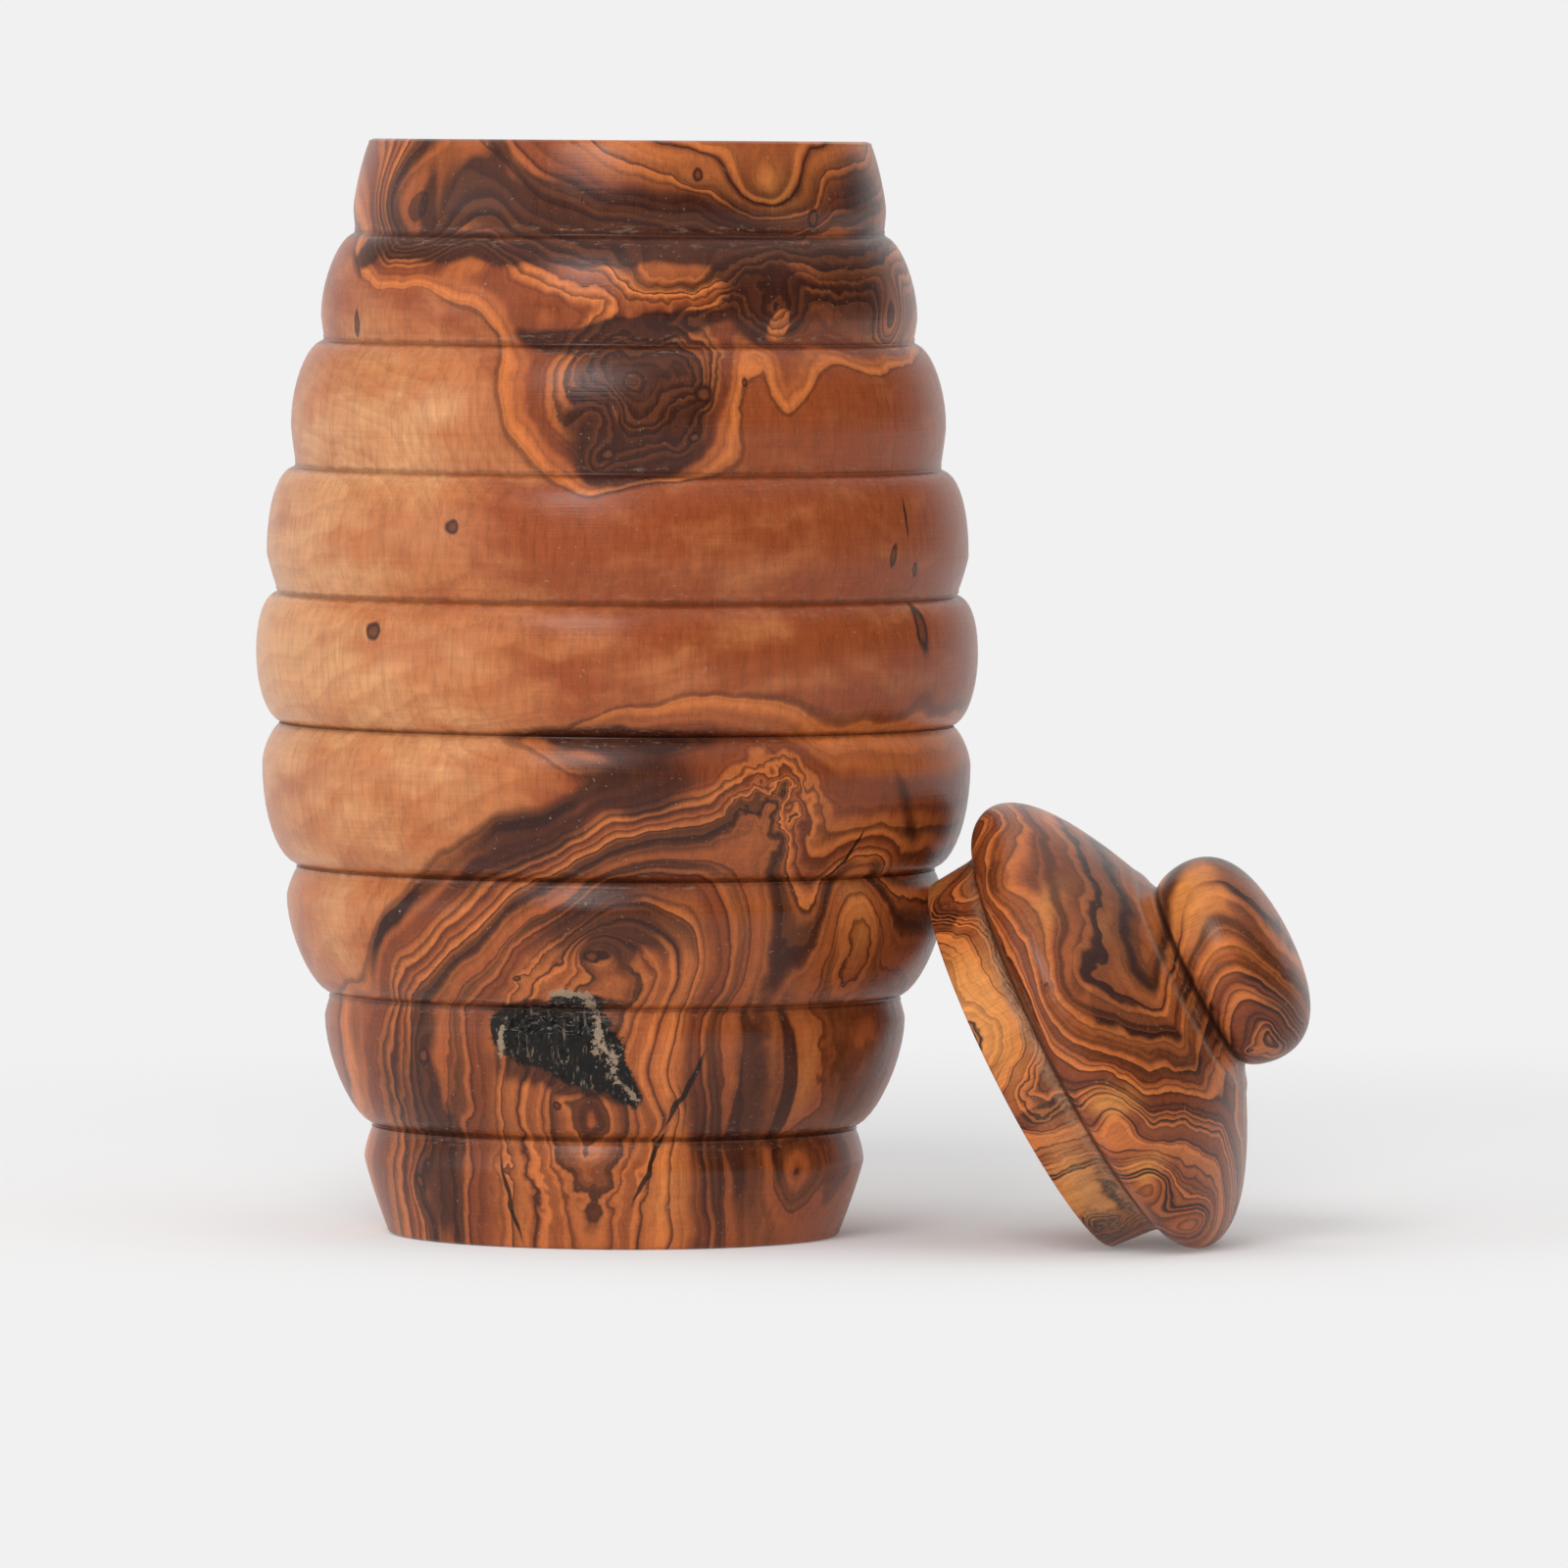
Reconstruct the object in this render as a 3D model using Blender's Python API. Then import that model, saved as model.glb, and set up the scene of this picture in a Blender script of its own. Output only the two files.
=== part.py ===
"""A turned wooden honey pot, in metres, +Z up.

The jar is one turned block: nine swelling rings stacked like a beehive, hollowed from the
mouth. The lid is a second block: a spigot that drops into the mouth, a domed flange and a
knob, all in one piece. The lid is off, and lies on its side against the jar.

The origin is the middle of the jar's base, where it stands. The lid's own origin is the
middle of its flange's underside, with its axis towards the knob.
"""

import math
from collections import namedtuple

import bmesh
import bpy
from mathutils import Matrix, Vector
from mathutils.geometry import interpolate_bezier

# The lid's spigot, which drops into the jar's mouth
SPIGOT_RADIUS = 0.0243        # its straight side, where the flare begins
SPIGOT_DRAFT = 0.0004         # how much narrower its free end is
SPIGOT_LENGTH = 0.0071
SPIGOT_EDGE = 0.0003          # chamfer round its free end
FLARE_GROWTH = 0.0012         # the flare at its root widens it by this
FLARE_LENGTH = 0.0021
DISH_DEPTH = 0.0030           # hollow turned into its free end
DISH_LIP = 0.0040             # width of the lip round that hollow
DISH_FLAT = 0.5               # the hollow's flat middle, as a share of its radius
DISH_FULLNESS = 0.5

# The lid's flange and dome
FLANGE_SETBACK = 0.0006       # the flange's edge stays this far inside the jar's rim
FLANGE_EDGE = 0.0036          # height of its widest point over its underside
DOME_HEIGHT = 0.0128          # from the widest point up to the neck's edge
DOME_BULGE = 0.0056           # how long the dome runs on upright from its widest point
DOME_EASE = 0.0047            # how long it runs straight into the neck
DOME_SLOPE = math.radians(64)  # the dome's fall at the neck, off the lid's axis

# The lid's neck and knob
NECK_RADIUS = 0.01145
NECK_EDGE = 0.0005            # the dome ends this far outside the neck's narrowest place
NECK_HEIGHT = 0.0006          # the narrowest place lies this far over the dome's end
KNOB_RADIUS = 0.01285
KNOB_UNDERSIDE = 0.0039       # from the neck up to the knob's widest place
KNOB_CAP = 0.0072             # from there up to its top
KNOB_UNDERSIDE_FULLNESS = 0.45
KNOB_CAP_FULLNESS = 0.67

# The jar's mouth and rim
MOUTH_CLEARANCE = 0.0004      # between the spigot and the mouth, all round
MOUTH_SLACK = 0.0016          # the straight mouth runs this much deeper than the spigot
SEAT_SLACK = 0.0003           # the bevel at the mouth runs this much deeper than the flare
RIM_WIDTH = 0.0036
RIM_EDGE = 0.00035            # chamfer on the rim's outer edge

# The jar's nine rings, from the top. height is from the groove above to the groove below,
# crown_drop from the groove above to the widest place, and both swells are how far that
# place and the groove below stand outside the rim. Each ring's shoulder, above its crown,
# and skirt, below it, are turned between straight, 0, and square, 1.
Ring = namedtuple("Ring", "height crown_drop crown_swell groove_swell shoulder skirt")
RINGS = (
    Ring(0.0112, 0.0083, 0.0021, 0.0018, 0.25, 0.20),
    Ring(0.0127, 0.0097, 0.0059, 0.0054, 0.45, 0.15),
    Ring(0.0150, 0.0099, 0.0094, 0.0087, 0.50, 0.15),
    Ring(0.0149, 0.0101, 0.0122, 0.0107, 0.60, 0.15),
    Ring(0.0154, 0.0069, 0.0134, 0.0101, 0.60, 0.55),
    Ring(0.0169, 0.0049, 0.0126, 0.0080, 0.40, 0.55),
    Ring(0.0152, 0.0038, 0.0096, 0.0042, 0.25, 0.40),
    Ring(0.0156, 0.0028, 0.0050, -0.0011, 0.12, 0.40),
    Ring(0.0131, 0.0040, 0.0002, -0.0029, 0.30, 0.10),
)
FOOT_EDGE = 0.0004            # chamfer round the base

# The jar's hollow
BELLY_WALL = 0.0072           # wood left behind the widest groove
FLOOR_THICKNESS = 0.0120
FLOOR_RADIUS = 0.0130         # the flat middle of the floor
NECK_EASE = 0.0090            # how long the hollow runs on steeply under the mouth
BELLY_EASE_UP = 0.0190        # how long it runs on upright above its widest place
BELLY_EASE_DOWN = 0.0310      # and below it
FLOOR_EASE = 0.0130           # how long it runs on level from the flat floor

# The lid's resting place
LID_SWING = math.radians(9.4)  # its knob is turned this far towards the front
LID_FORWARD = 0.0147          # the middle of its flange lies this far in front of the jar's axis
LID_STANDOFF = 0.0004         # what is left open where it leans on the jar

# Fineness of the turned surfaces
SIDES = 48
SHOULDER_STEPS = 4
SKIRT_STEPS = 3
HOLLOW_STEPS = 6
DOME_STEPS = 7
KNOB_STEPS = 6
FLANGE_STEPS = 4
FLARE_STEPS = 2
DISH_STEPS = 3
MERGE_DISTANCE = 0.000001
SHARP_ANGLE = math.radians(35)

# Plain finishes in the woods' mean colours
JAR_COLOUR = (0.36, 0.13, 0.045)
JAR_ROUGHNESS = 0.42
LID_COLOUR = (0.42, 0.12, 0.035)
LID_ROUGHNESS = 0.40

spigot_end_radius = SPIGOT_RADIUS - SPIGOT_DRAFT
spigot_root_radius = SPIGOT_RADIUS + FLARE_GROWTH
mouth_radius = SPIGOT_RADIUS + MOUTH_CLEARANCE
seat_radius = spigot_root_radius + MOUTH_CLEARANCE
rim_radius = seat_radius + RIM_WIDTH
jar_height = sum(ring.height for ring in RINGS)


def at(radius, height):
    """A point of an outline: radius out from the axis, height along it."""
    return Vector((radius, 0.0, height))


def curve(start, start_handle, end_handle, end, steps):
    """Points of a smooth curve after its start, up to its end."""
    return list(interpolate_bezier(start, start_handle, end_handle, end, steps + 1))[1:]


def swell(groove, crown, fullness, steps):
    """From a groove, which the curve leaves square to the axis, to a crown, where it runs along it."""
    out = groove + at(fullness * (crown.x - groove.x), 0.0)
    along = crown + at(0.0, fullness * (groove.z - crown.z))
    return curve(groove, out, along, crown, steps)


def fall(crown, groove, fullness, steps):
    """The same curve the other way, from a crown to a groove."""
    along = crown + at(0.0, fullness * (groove.z - crown.z))
    out = groove + at(fullness * (crown.x - groove.x), 0.0)
    return curve(crown, along, out, groove, steps)


def jar_side():
    """The jar's outer side from the rim down to the base, ring by ring."""
    groove = at(rim_radius, jar_height)
    points = [groove]
    for ring in RINGS:
        crown = at(rim_radius + ring.crown_swell, groove.z - ring.crown_drop)
        next_groove = at(rim_radius + ring.groove_swell, groove.z - ring.height)
        points += swell(groove, crown, ring.shoulder, SHOULDER_STEPS)
        points += fall(crown, next_groove, ring.skirt, SKIRT_STEPS)
        groove = next_groove
    return points


def chamfered(corner, before, after, width):
    """The two points that replace a corner, each the width away from it towards its neighbours."""
    return [corner + (before - corner).normalized() * width,
            corner + (after - corner).normalized() * width]


def jar_hollow():
    """The inside from the mouth's edge down to the flat of the floor."""
    bevel_depth = FLARE_LENGTH + SEAT_SLACK
    mouth_foot = at(mouth_radius, jar_height - SPIGOT_LENGTH - MOUTH_SLACK)
    widest = max(range(len(RINGS) - 1), key=lambda index: RINGS[index].groove_swell)
    belly_radius = rim_radius + RINGS[widest].groove_swell - BELLY_WALL
    belly = at(belly_radius, jar_height - sum(ring.height for ring in RINGS[:widest + 1]))
    floor = at(FLOOR_RADIUS, FLOOR_THICKNESS)
    points = [at(seat_radius, jar_height), at(mouth_radius, jar_height - bevel_depth), mouth_foot]
    # The curve leaves the mouth on the straight line from its foot towards the belly
    outward = (belly - mouth_foot).normalized() * NECK_EASE
    points += curve(mouth_foot, mouth_foot + outward, belly + at(0.0, BELLY_EASE_UP), belly, HOLLOW_STEPS)
    level = floor + at(FLOOR_EASE, 0.0)
    points += curve(belly, belly - at(0.0, BELLY_EASE_DOWN), level, floor, HOLLOW_STEPS)
    return points


def jar_outline():
    """The whole section of the jar: base, side, rim and hollow. Both ends stay open, for the flats."""
    side = jar_side()
    hollow = jar_hollow()
    foot = side[-1]
    rim_corner = chamfered(side[0], hollow[0], side[1], RIM_EDGE)
    foot_corner = chamfered(foot, side[-2], at(0.0, foot.z), FOOT_EDGE)
    outer = rim_corner + side[1:-1] + foot_corner
    return outer[::-1] + hollow


def lid_side():
    """The lid's outside from the spigot's free end to the middle of the knob."""
    end = at(spigot_end_radius, -SPIGOT_LENGTH)
    flare_start = at(SPIGOT_RADIUS, -FLARE_LENGTH)
    root = at(spigot_root_radius, 0.0)
    flange = at(rim_radius - FLANGE_SETBACK, FLANGE_EDGE)
    dome_end = at(NECK_RADIUS + NECK_EDGE, FLANGE_EDGE + DOME_HEIGHT)
    neck = at(NECK_RADIUS, dome_end.z + NECK_HEIGHT)
    knob = at(KNOB_RADIUS, neck.z + KNOB_UNDERSIDE)
    top = at(0.0, knob.z + KNOB_CAP)
    slope = at(math.sin(DOME_SLOPE), -math.cos(DOME_SLOPE))
    points = chamfered(end, at(0.0, end.z), flare_start, SPIGOT_EDGE)
    points.append(flare_start)
    # The flare is a cove: it runs on straight, then turns out to the flange
    straight = flare_start + at(0.0, FLARE_LENGTH / 2)
    points += curve(flare_start, straight, root - at(FLARE_GROWTH / 3, 0.0), root, FLARE_STEPS)
    # The flange's underside rolls over into its edge
    roll = (flange - root) / 2
    points += curve(root, root + at(roll.x, 0.0), flange - at(0.0, roll.z), flange, FLANGE_STEPS)
    upright = flange + at(0.0, DOME_BULGE)
    points += curve(flange, upright, dome_end + slope * DOME_EASE, dome_end, DOME_STEPS)
    points.append(neck)
    points += swell(neck, knob, KNOB_UNDERSIDE_FULLNESS, KNOB_STEPS // 2)
    points += fall(knob, top, KNOB_CAP_FULLNESS, KNOB_STEPS)
    return points


def lid_outline():
    """The lid's section: a shallow dish in the spigot's end, then its outside."""
    dish_edge = at(spigot_end_radius - DISH_LIP, -SPIGOT_LENGTH)
    dish_floor = at(dish_edge.x * DISH_FLAT, DISH_DEPTH - SPIGOT_LENGTH)
    dish = [dish_floor] + swell(dish_floor, dish_edge, DISH_FULLNESS, DISH_STEPS)
    return dish + lid_side()


def resting_tilt(side):
    """How far the lid's axis rises when it lies on its spigot's end and its flange."""
    heel = side[1]
    return max(math.atan2(point.x - heel.x, point.z - heel.z) for point in side[2:])


def radius_at(side, height):
    """The jar's outer radius at a height, or nothing above and below it."""
    for upper, lower in zip(side, side[1:]):
        if lower.z <= height <= upper.z and lower.z < upper.z:
            return lower.x + (upper.x - lower.x) * (height - lower.z) / (upper.z - lower.z)
    return 0.0


def standoff(points, side, gap):
    """How far along +X the points move until none is nearer than the gap to the jar."""
    move = 0.0
    for point in points:
        kept_out = radius_at(side, point.z) + gap
        if abs(point.y) < kept_out:
            move = max(move, math.sqrt(kept_out ** 2 - point.y ** 2) - point.x)
    return move


def wood(name, colour, roughness):
    """A plain finish in the wood's mean colour."""
    material = bpy.data.materials.new(name)
    material.use_nodes = True
    shader = material.node_tree.nodes["Principled BSDF"]
    shader.inputs["Base Color"].default_value = (*colour, 1.0)
    shader.inputs["Roughness"].default_value = roughness
    shader.inputs["Metallic"].default_value = 0.0
    return material


def turn(name, outline, material):
    """Spins an outline about the Z axis into a closed solid. Open ends become flat discs."""
    shape = bmesh.new()
    verts = [shape.verts.new(point) for point in outline]
    edges = [shape.edges.new(pair) for pair in zip(verts, verts[1:])]
    bmesh.ops.spin(shape, geom=verts + edges, cent=(0, 0, 0), axis=(0, 0, 1),
                   angle=2 * math.pi, steps=SIDES, use_merge=True, use_duplicate=False)
    bmesh.ops.remove_doubles(shape, verts=shape.verts, dist=MERGE_DISTANCE)
    open_edges = [edge for edge in shape.edges if edge.is_boundary]
    bmesh.ops.holes_fill(shape, edges=open_edges, sides=SIDES)
    bmesh.ops.recalc_face_normals(shape, faces=shape.faces)
    mesh = bpy.data.meshes.new(name)
    shape.to_mesh(mesh)
    shape.free()
    mesh.materials.append(material)
    mesh.shade_smooth()
    mesh.set_sharp_from_angle(angle=SHARP_ANGLE)
    piece = bpy.data.objects.new(name, mesh)
    bpy.context.scene.collection.objects.link(piece)
    return piece


def lay_lid(lid):
    """Lays the lid on its spigot's end and its flange, leaning on the jar."""
    tipped = Matrix.Rotation(math.pi / 2 - resting_tilt(lid_side()), 4, "Y")
    turned = Matrix.Rotation(-LID_SWING, 4, "Z") @ tipped
    points = [turned @ vert.co for vert in lid.data.vertices]
    raised = Vector((0.0, -LID_FORWARD, -min(point.z for point in points)))
    points = [point + raised for point in points]
    beside = Vector((standoff(points, jar_side(), LID_STANDOFF), 0.0, 0.0))
    lid.rotation_euler = turned.to_euler()
    lid.location = raised + beside


def build():
    """Clears the scene and makes the jar and its lid."""
    for old in list(bpy.data.objects):
        bpy.data.objects.remove(old)
    turn("jar", jar_outline(), wood("jar_wood", JAR_COLOUR, JAR_ROUGHNESS))
    lid = turn("lid", lid_outline(), wood("lid_wood", LID_COLOUR, LID_ROUGHNESS))
    lay_lid(lid)


build()
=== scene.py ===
# %% [markdown]
# A turned olive-wood honey pot with its lid off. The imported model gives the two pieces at
# their real size and place. This lesson turns both again with a finer outline, then grows
# an olive-wood figure through them with shader nodes, so that the lines run on round each
# ring and down into each groove, as they do in one block of wood.

# %% the frame
import math

import bmesh
import bpy
from mathutils import Matrix, Vector
from mathutils.geometry import interpolate_bezier
from mathutils.noise import hetero_terrain
from mathutils.noise import noise as noise_at


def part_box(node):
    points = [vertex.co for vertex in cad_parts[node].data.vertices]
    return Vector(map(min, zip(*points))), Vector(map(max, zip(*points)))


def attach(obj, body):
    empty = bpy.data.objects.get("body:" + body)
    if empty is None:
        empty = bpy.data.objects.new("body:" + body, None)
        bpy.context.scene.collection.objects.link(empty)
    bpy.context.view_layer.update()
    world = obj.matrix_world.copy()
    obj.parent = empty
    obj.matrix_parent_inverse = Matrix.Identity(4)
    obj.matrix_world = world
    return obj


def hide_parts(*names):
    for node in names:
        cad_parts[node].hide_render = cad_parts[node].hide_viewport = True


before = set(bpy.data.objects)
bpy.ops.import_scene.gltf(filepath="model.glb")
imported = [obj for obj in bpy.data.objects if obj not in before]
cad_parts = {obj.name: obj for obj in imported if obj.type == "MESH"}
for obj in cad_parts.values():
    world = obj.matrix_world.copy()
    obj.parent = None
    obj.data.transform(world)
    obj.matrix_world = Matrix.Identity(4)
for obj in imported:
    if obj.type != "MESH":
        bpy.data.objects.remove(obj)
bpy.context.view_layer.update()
MM = 0.001

# %% [markdown]
# The camera stands 1.7 m in front of the jar at the height of its rim, with a long lens, so
# the rim shows as a straight line and the foot as a shallow curve. It is turned a little to
# the right and down to frame the pot left of the middle. Its roll is under half a degree.

# %% camera
CAMERA_PLACE = Vector((0.0, -1.7, 0.13))
CAMERA_RIGHT = math.radians(0.672)
CAMERA_DOWN = math.radians(2.572)
CAMERA_ROLL = math.radians(0.382)
CAMERA_LENS = 328.5           # mm
SENSOR_WIDTH = 36.0           # mm
CAMERA_NEAR = 0.1             # metres: nothing nearer or farther shows
CAMERA_FAR = 20.0


def make_camera():
    data = bpy.data.cameras.new("camera")
    data.lens = CAMERA_LENS
    data.sensor_width = SENSOR_WIDTH
    data.clip_start = CAMERA_NEAR
    data.clip_end = CAMERA_FAR
    camera = bpy.data.objects.new("camera", data)
    ahead = Matrix.Rotation(math.pi / 2 - CAMERA_DOWN, 4, "X")
    turn = Matrix.Rotation(-CAMERA_RIGHT, 4, "Z") @ ahead @ Matrix.Rotation(CAMERA_ROLL, 4, "Z")
    camera.matrix_world = Matrix.Translation(CAMERA_PLACE) @ turn
    bpy.context.scene.collection.objects.link(camera)
    bpy.context.scene.camera = camera


make_camera()
print("lens", CAMERA_LENS, "mm, place", tuple(CAMERA_PLACE))

# %% [markdown]
# Each outline is a string of points in a half plane, which a spin turns into the piece. The
# jar's side is nine rings between grooves. Each ring is two Bezier curves, from the groove
# above to the widest place and on to the groove below. The turner's tool leaves a small
# round in the bottom of each groove, so the curves stop short of it and a third curve
# joins them.

# %% outline helpers
def at(radius, height):
    """A point of an outline, in millimetres: out from the axis, and along it."""
    return Vector((radius, 0.0, height))


def curve(start, start_handle, end_handle, end, steps):
    """Points of a smooth curve after its start, up to its end."""
    return list(interpolate_bezier(start, start_handle, end_handle, end, steps + 1))[1:]


def swell(low, crown, fullness, steps):
    """From a low place, left square to the axis, to a crown, where the curve runs along it."""
    out = low + at(fullness * (crown.x - low.x), 0.0)
    along = crown + at(0.0, fullness * (low.z - crown.z))
    return curve(low, out, along, crown, steps)


def fall(crown, low, fullness, steps):
    """The same curve the other way, from a crown to a low place."""
    return swell(low, crown, fullness, steps)[-2::-1] + [low]


CORNER_EASE = 0.4             # a round corner's handles stand off it by this share of its reach


def rounded(points, corner, reach, steps=4):
    """The points with one corner replaced by a curve that leaves and meets them that far off."""
    place = points.index(corner)
    before = [point for point in points[:place] if (point - corner).length > reach]
    after = [point for point in points[place + 1:] if (point - corner).length > reach]
    start = corner + (points[place - 1] - corner).normalized() * reach
    end = corner + (points[place + 1] - corner).normalized() * reach
    bend = curve(start, corner.lerp(start, CORNER_EASE), corner.lerp(end, CORNER_EASE), end, steps)
    return before + [start] + bend + after


sample = swell(at(38, 44), at(42, 56), 0.5, 3)
print("from a groove to a crown:", [(round(point.x, 1), round(point.z, 1)) for point in sample])

# %% [markdown]
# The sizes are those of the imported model. A ring is its height, the drop to its crown, how
# far crown and lower groove stand outside the rim, and how full the curve is above and
# below the crown: 0 is a straight chamfer and 1 a square shoulder.

# %% the jar's sizes, in millimetres
MOUTH_RADIUS = 24.7
SEAT_RADIUS = 25.9
RIM_RADIUS = 29.5
BEVEL_DEPTH = 2.4
MOUTH_DEPTH = 8.7
RINGS = (
    (11.2, 8.3, 2.1, 1.8, 0.25, 0.20),
    (12.7, 9.7, 5.9, 5.4, 0.45, 0.15),
    (15.0, 9.9, 9.4, 8.7, 0.50, 0.15),
    (14.9, 10.1, 12.2, 10.7, 0.60, 0.15),
    (15.4, 6.9, 13.4, 10.1, 0.60, 0.55),
    (16.9, 4.9, 12.6, 8.0, 0.40, 0.55),
    (15.2, 3.8, 9.6, 4.2, 0.25, 0.40),
    (15.6, 2.8, 5.0, -1.1, 0.12, 0.40),
    (13.1, 4.0, 0.2, -2.9, 0.30, 0.10),
)
BELLY_WALL = 7.2
BELLY_EASE_UP = 19.0          # how long the hollow's wall runs upright over and under its belly
BELLY_EASE_DOWN = 31.0
MOUTH_EASE = 9.0              # how straight it leaves the mouth and meets the floor
FLOOR_EASE = 13.0
FLOOR_THICKNESS = 12.0
FLOOR_RADIUS = 13.0
BASE_EDGE = 3.0               # the outline starts on the base, this far inside the foot
GROOVE_ROUND = 0.55
RIM_ROUND = 0.45
FOOT_ROUND = 0.5
SEAT_ROUND = 0.35
MOUTH_ROUND = 0.5
RING_STEPS = 11
HOLLOW_STEPS = (24, 30)       # over and under the belly
EDGE_STEPS = 3
TURN_STEPS = 256

jar_height = sum(ring[0] for ring in RINGS)


# %% the jar's outline
def jar_side():
    """Rim to foot, with the grooves' places."""
    groove = at(RIM_RADIUS, jar_height)
    points = [groove]
    grooves = []
    for height, crown_drop, crown_swell, groove_swell, shoulder, skirt in RINGS:
        crown = at(RIM_RADIUS + crown_swell, groove.z - crown_drop)
        next_groove = at(RIM_RADIUS + groove_swell, groove.z - height)
        points += swell(groove, crown, shoulder, RING_STEPS)
        points += fall(crown, next_groove, skirt, RING_STEPS)
        groove = next_groove
        grooves.append(groove)
    return points, grooves


def jar_outline():
    """The whole section: foot, side, rim and hollow. Both ends stay open, for the flats."""
    side, grooves = jar_side()
    widest = max(RINGS[:-1], key=lambda ring: ring[3])
    belly_height = jar_height - sum(ring[0] for ring in RINGS[:RINGS.index(widest) + 1])
    belly = at(RIM_RADIUS + widest[3] - BELLY_WALL, belly_height)
    seat = at(SEAT_RADIUS, jar_height)
    mouth_top = at(MOUTH_RADIUS, jar_height - BEVEL_DEPTH)
    mouth_foot = at(MOUTH_RADIUS, jar_height - MOUTH_DEPTH)
    floor = at(FLOOR_RADIUS, FLOOR_THICKNESS)
    outward = (belly - mouth_foot).normalized() * MOUTH_EASE
    over = belly + at(0.0, BELLY_EASE_UP)
    under = belly - at(0.0, BELLY_EASE_DOWN)
    hollow = [seat, mouth_top, mouth_foot]
    hollow += curve(mouth_foot, mouth_foot + outward, over, belly, HOLLOW_STEPS[0])
    hollow += curve(belly, under, floor + at(FLOOR_EASE, 0.0), floor, HOLLOW_STEPS[1])
    foot = side[-1]
    points = [at(foot.x - BASE_EDGE, 0.0)] + side[::-1] + hollow
    for groove in grooves[:-1]:
        points = rounded(points, groove, GROOVE_ROUND)
    points = rounded(points, foot, FOOT_ROUND)
    points = rounded(points, side[0], RIM_ROUND)
    points = rounded(points, seat, SEAT_ROUND, EDGE_STEPS)
    points = rounded(points, mouth_top, MOUTH_ROUND, EDGE_STEPS)
    return points


print("the jar's outline has", len(jar_outline()), "points")

# %% [markdown]
# bmesh.ops.spin sweeps the outline round the axis. With use_merge the last copy closes on
# the first. The two open ends, the middle of the base and of the hollow's floor, are
# filled, doubles are merged, and the normals are recalculated to point out of the wood.

# %% turning a piece
DOUBLES = 0.001               # mm: points closer than this become one
SHARP_ANGLE = math.radians(40)


def turned(name, outline, place=Matrix.Identity(4)):
    """A closed turned solid from an outline in millimetres, put in its place."""
    shape = bmesh.new()
    verts = [shape.verts.new(point * MM) for point in outline]
    edges = [shape.edges.new(pair) for pair in zip(verts, verts[1:])]
    bmesh.ops.spin(shape, geom=verts + edges, cent=(0, 0, 0), axis=(0, 0, 1), angle=2 * math.pi,
                   steps=TURN_STEPS, use_merge=True, use_duplicate=False)
    bmesh.ops.remove_doubles(shape, verts=shape.verts, dist=DOUBLES * MM)
    open_ends = [edge for edge in shape.edges if edge.is_boundary]
    ends = bmesh.ops.holes_fill(shape, edges=open_ends, sides=0)["faces"]
    bmesh.ops.poke(shape, faces=ends)
    bmesh.ops.recalc_face_normals(shape, faces=shape.faces)
    bmesh.ops.transform(shape, matrix=place, verts=shape.verts)
    mesh = bpy.data.meshes.new(name)
    shape.to_mesh(mesh)
    shape.free()
    mesh.shade_smooth()
    mesh.set_sharp_from_angle(angle=SHARP_ANGLE)
    piece = bpy.data.objects.new(name, mesh)
    bpy.context.scene.collection.objects.link(piece)
    print(name, sum(len(face.vertices) - 2 for face in mesh.polygons), "triangles")
    return piece


jar = turned("turned_jar", jar_outline())
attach(jar, "jar")
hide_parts("jar")

# %% [markdown]
# A pocket of bark grew into the wood, and the tool cut across it in the eighth ring. Bark is
# softer than wood, so it tore out a little. The faces round it are subdivided, and their
# points are then pressed in, with a noise that makes the edge and the bottom uneven. The
# hollow's wall lies close behind, and a test of the distance to the axis leaves it alone.

# %% where the pocket of bark is
BARK_AROUND = -11.5           # degrees from the front
BARK_HEIGHT = 24.5            # mm from here on
BARK_HALF = (6.6, 4.6)        # half width and half height
BARK_MARGIN = 2.0
OUTSIDE = 0.028               # metres from the axis; nearer in is the hollow
EDGE_LUMPS = 0.6              # lumps in a millimetre
EDGE_NOISE = (1.0, 2.0, 3, 0.0)     # how its octaves weaken and shrink, their count, its offset
EDGE_UNEVEN = 0.35
BANK = 0.3                    # the share of the half width that the sides take to go down


def on_outside(point):
    """Whether a point of the jar is outside, and not in the hollow."""
    return math.hypot(point.x, point.y) > OUTSIDE


def bark_offset(point):
    """How far a point lies right of and above the pocket's middle, in millimetres."""
    around = math.atan2(point.x, -point.y) - math.radians(BARK_AROUND)
    return around * math.hypot(point.x, point.y) / MM, point.z / MM - BARK_HEIGHT


def bark_share(point):
    """1 deep in the pocket, 0 outside it."""
    right, up = bark_offset(point)
    uneven = hetero_terrain(point / MM * EDGE_LUMPS, *EDGE_NOISE) * EDGE_UNEVEN
    inside = 1.0 - math.hypot(right / BARK_HALF[0], up / BARK_HALF[1]) + uneven
    return min(max(inside / BANK, 0.0), 1.0)


def near_bark(point):
    """Whether a point of the outside lies in the pocket or its margin."""
    right, up = bark_offset(point)
    wide, tall = (half + BARK_MARGIN for half in BARK_HALF)
    return on_outside(point) and abs(right) < wide and abs(up) < tall


print("faces near the bark:", sum(near_bark(face.center) for face in jar.data.polygons))

# %% pressing it in
BARK_DEPTH = 0.45             # mm
BARK_CUTS = 3
BOTTOM_LUMPS = 1.3            # lumps in a millimetre
BOTTOM_MIDDLE = 0.7           # shares of the depth
BOTTOM_SWING = 0.6


def torn_share(point):
    """How much of the depth the tool tore out at a point."""
    return BOTTOM_MIDDLE + BOTTOM_SWING * noise_at(point / MM * BOTTOM_LUMPS)


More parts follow.
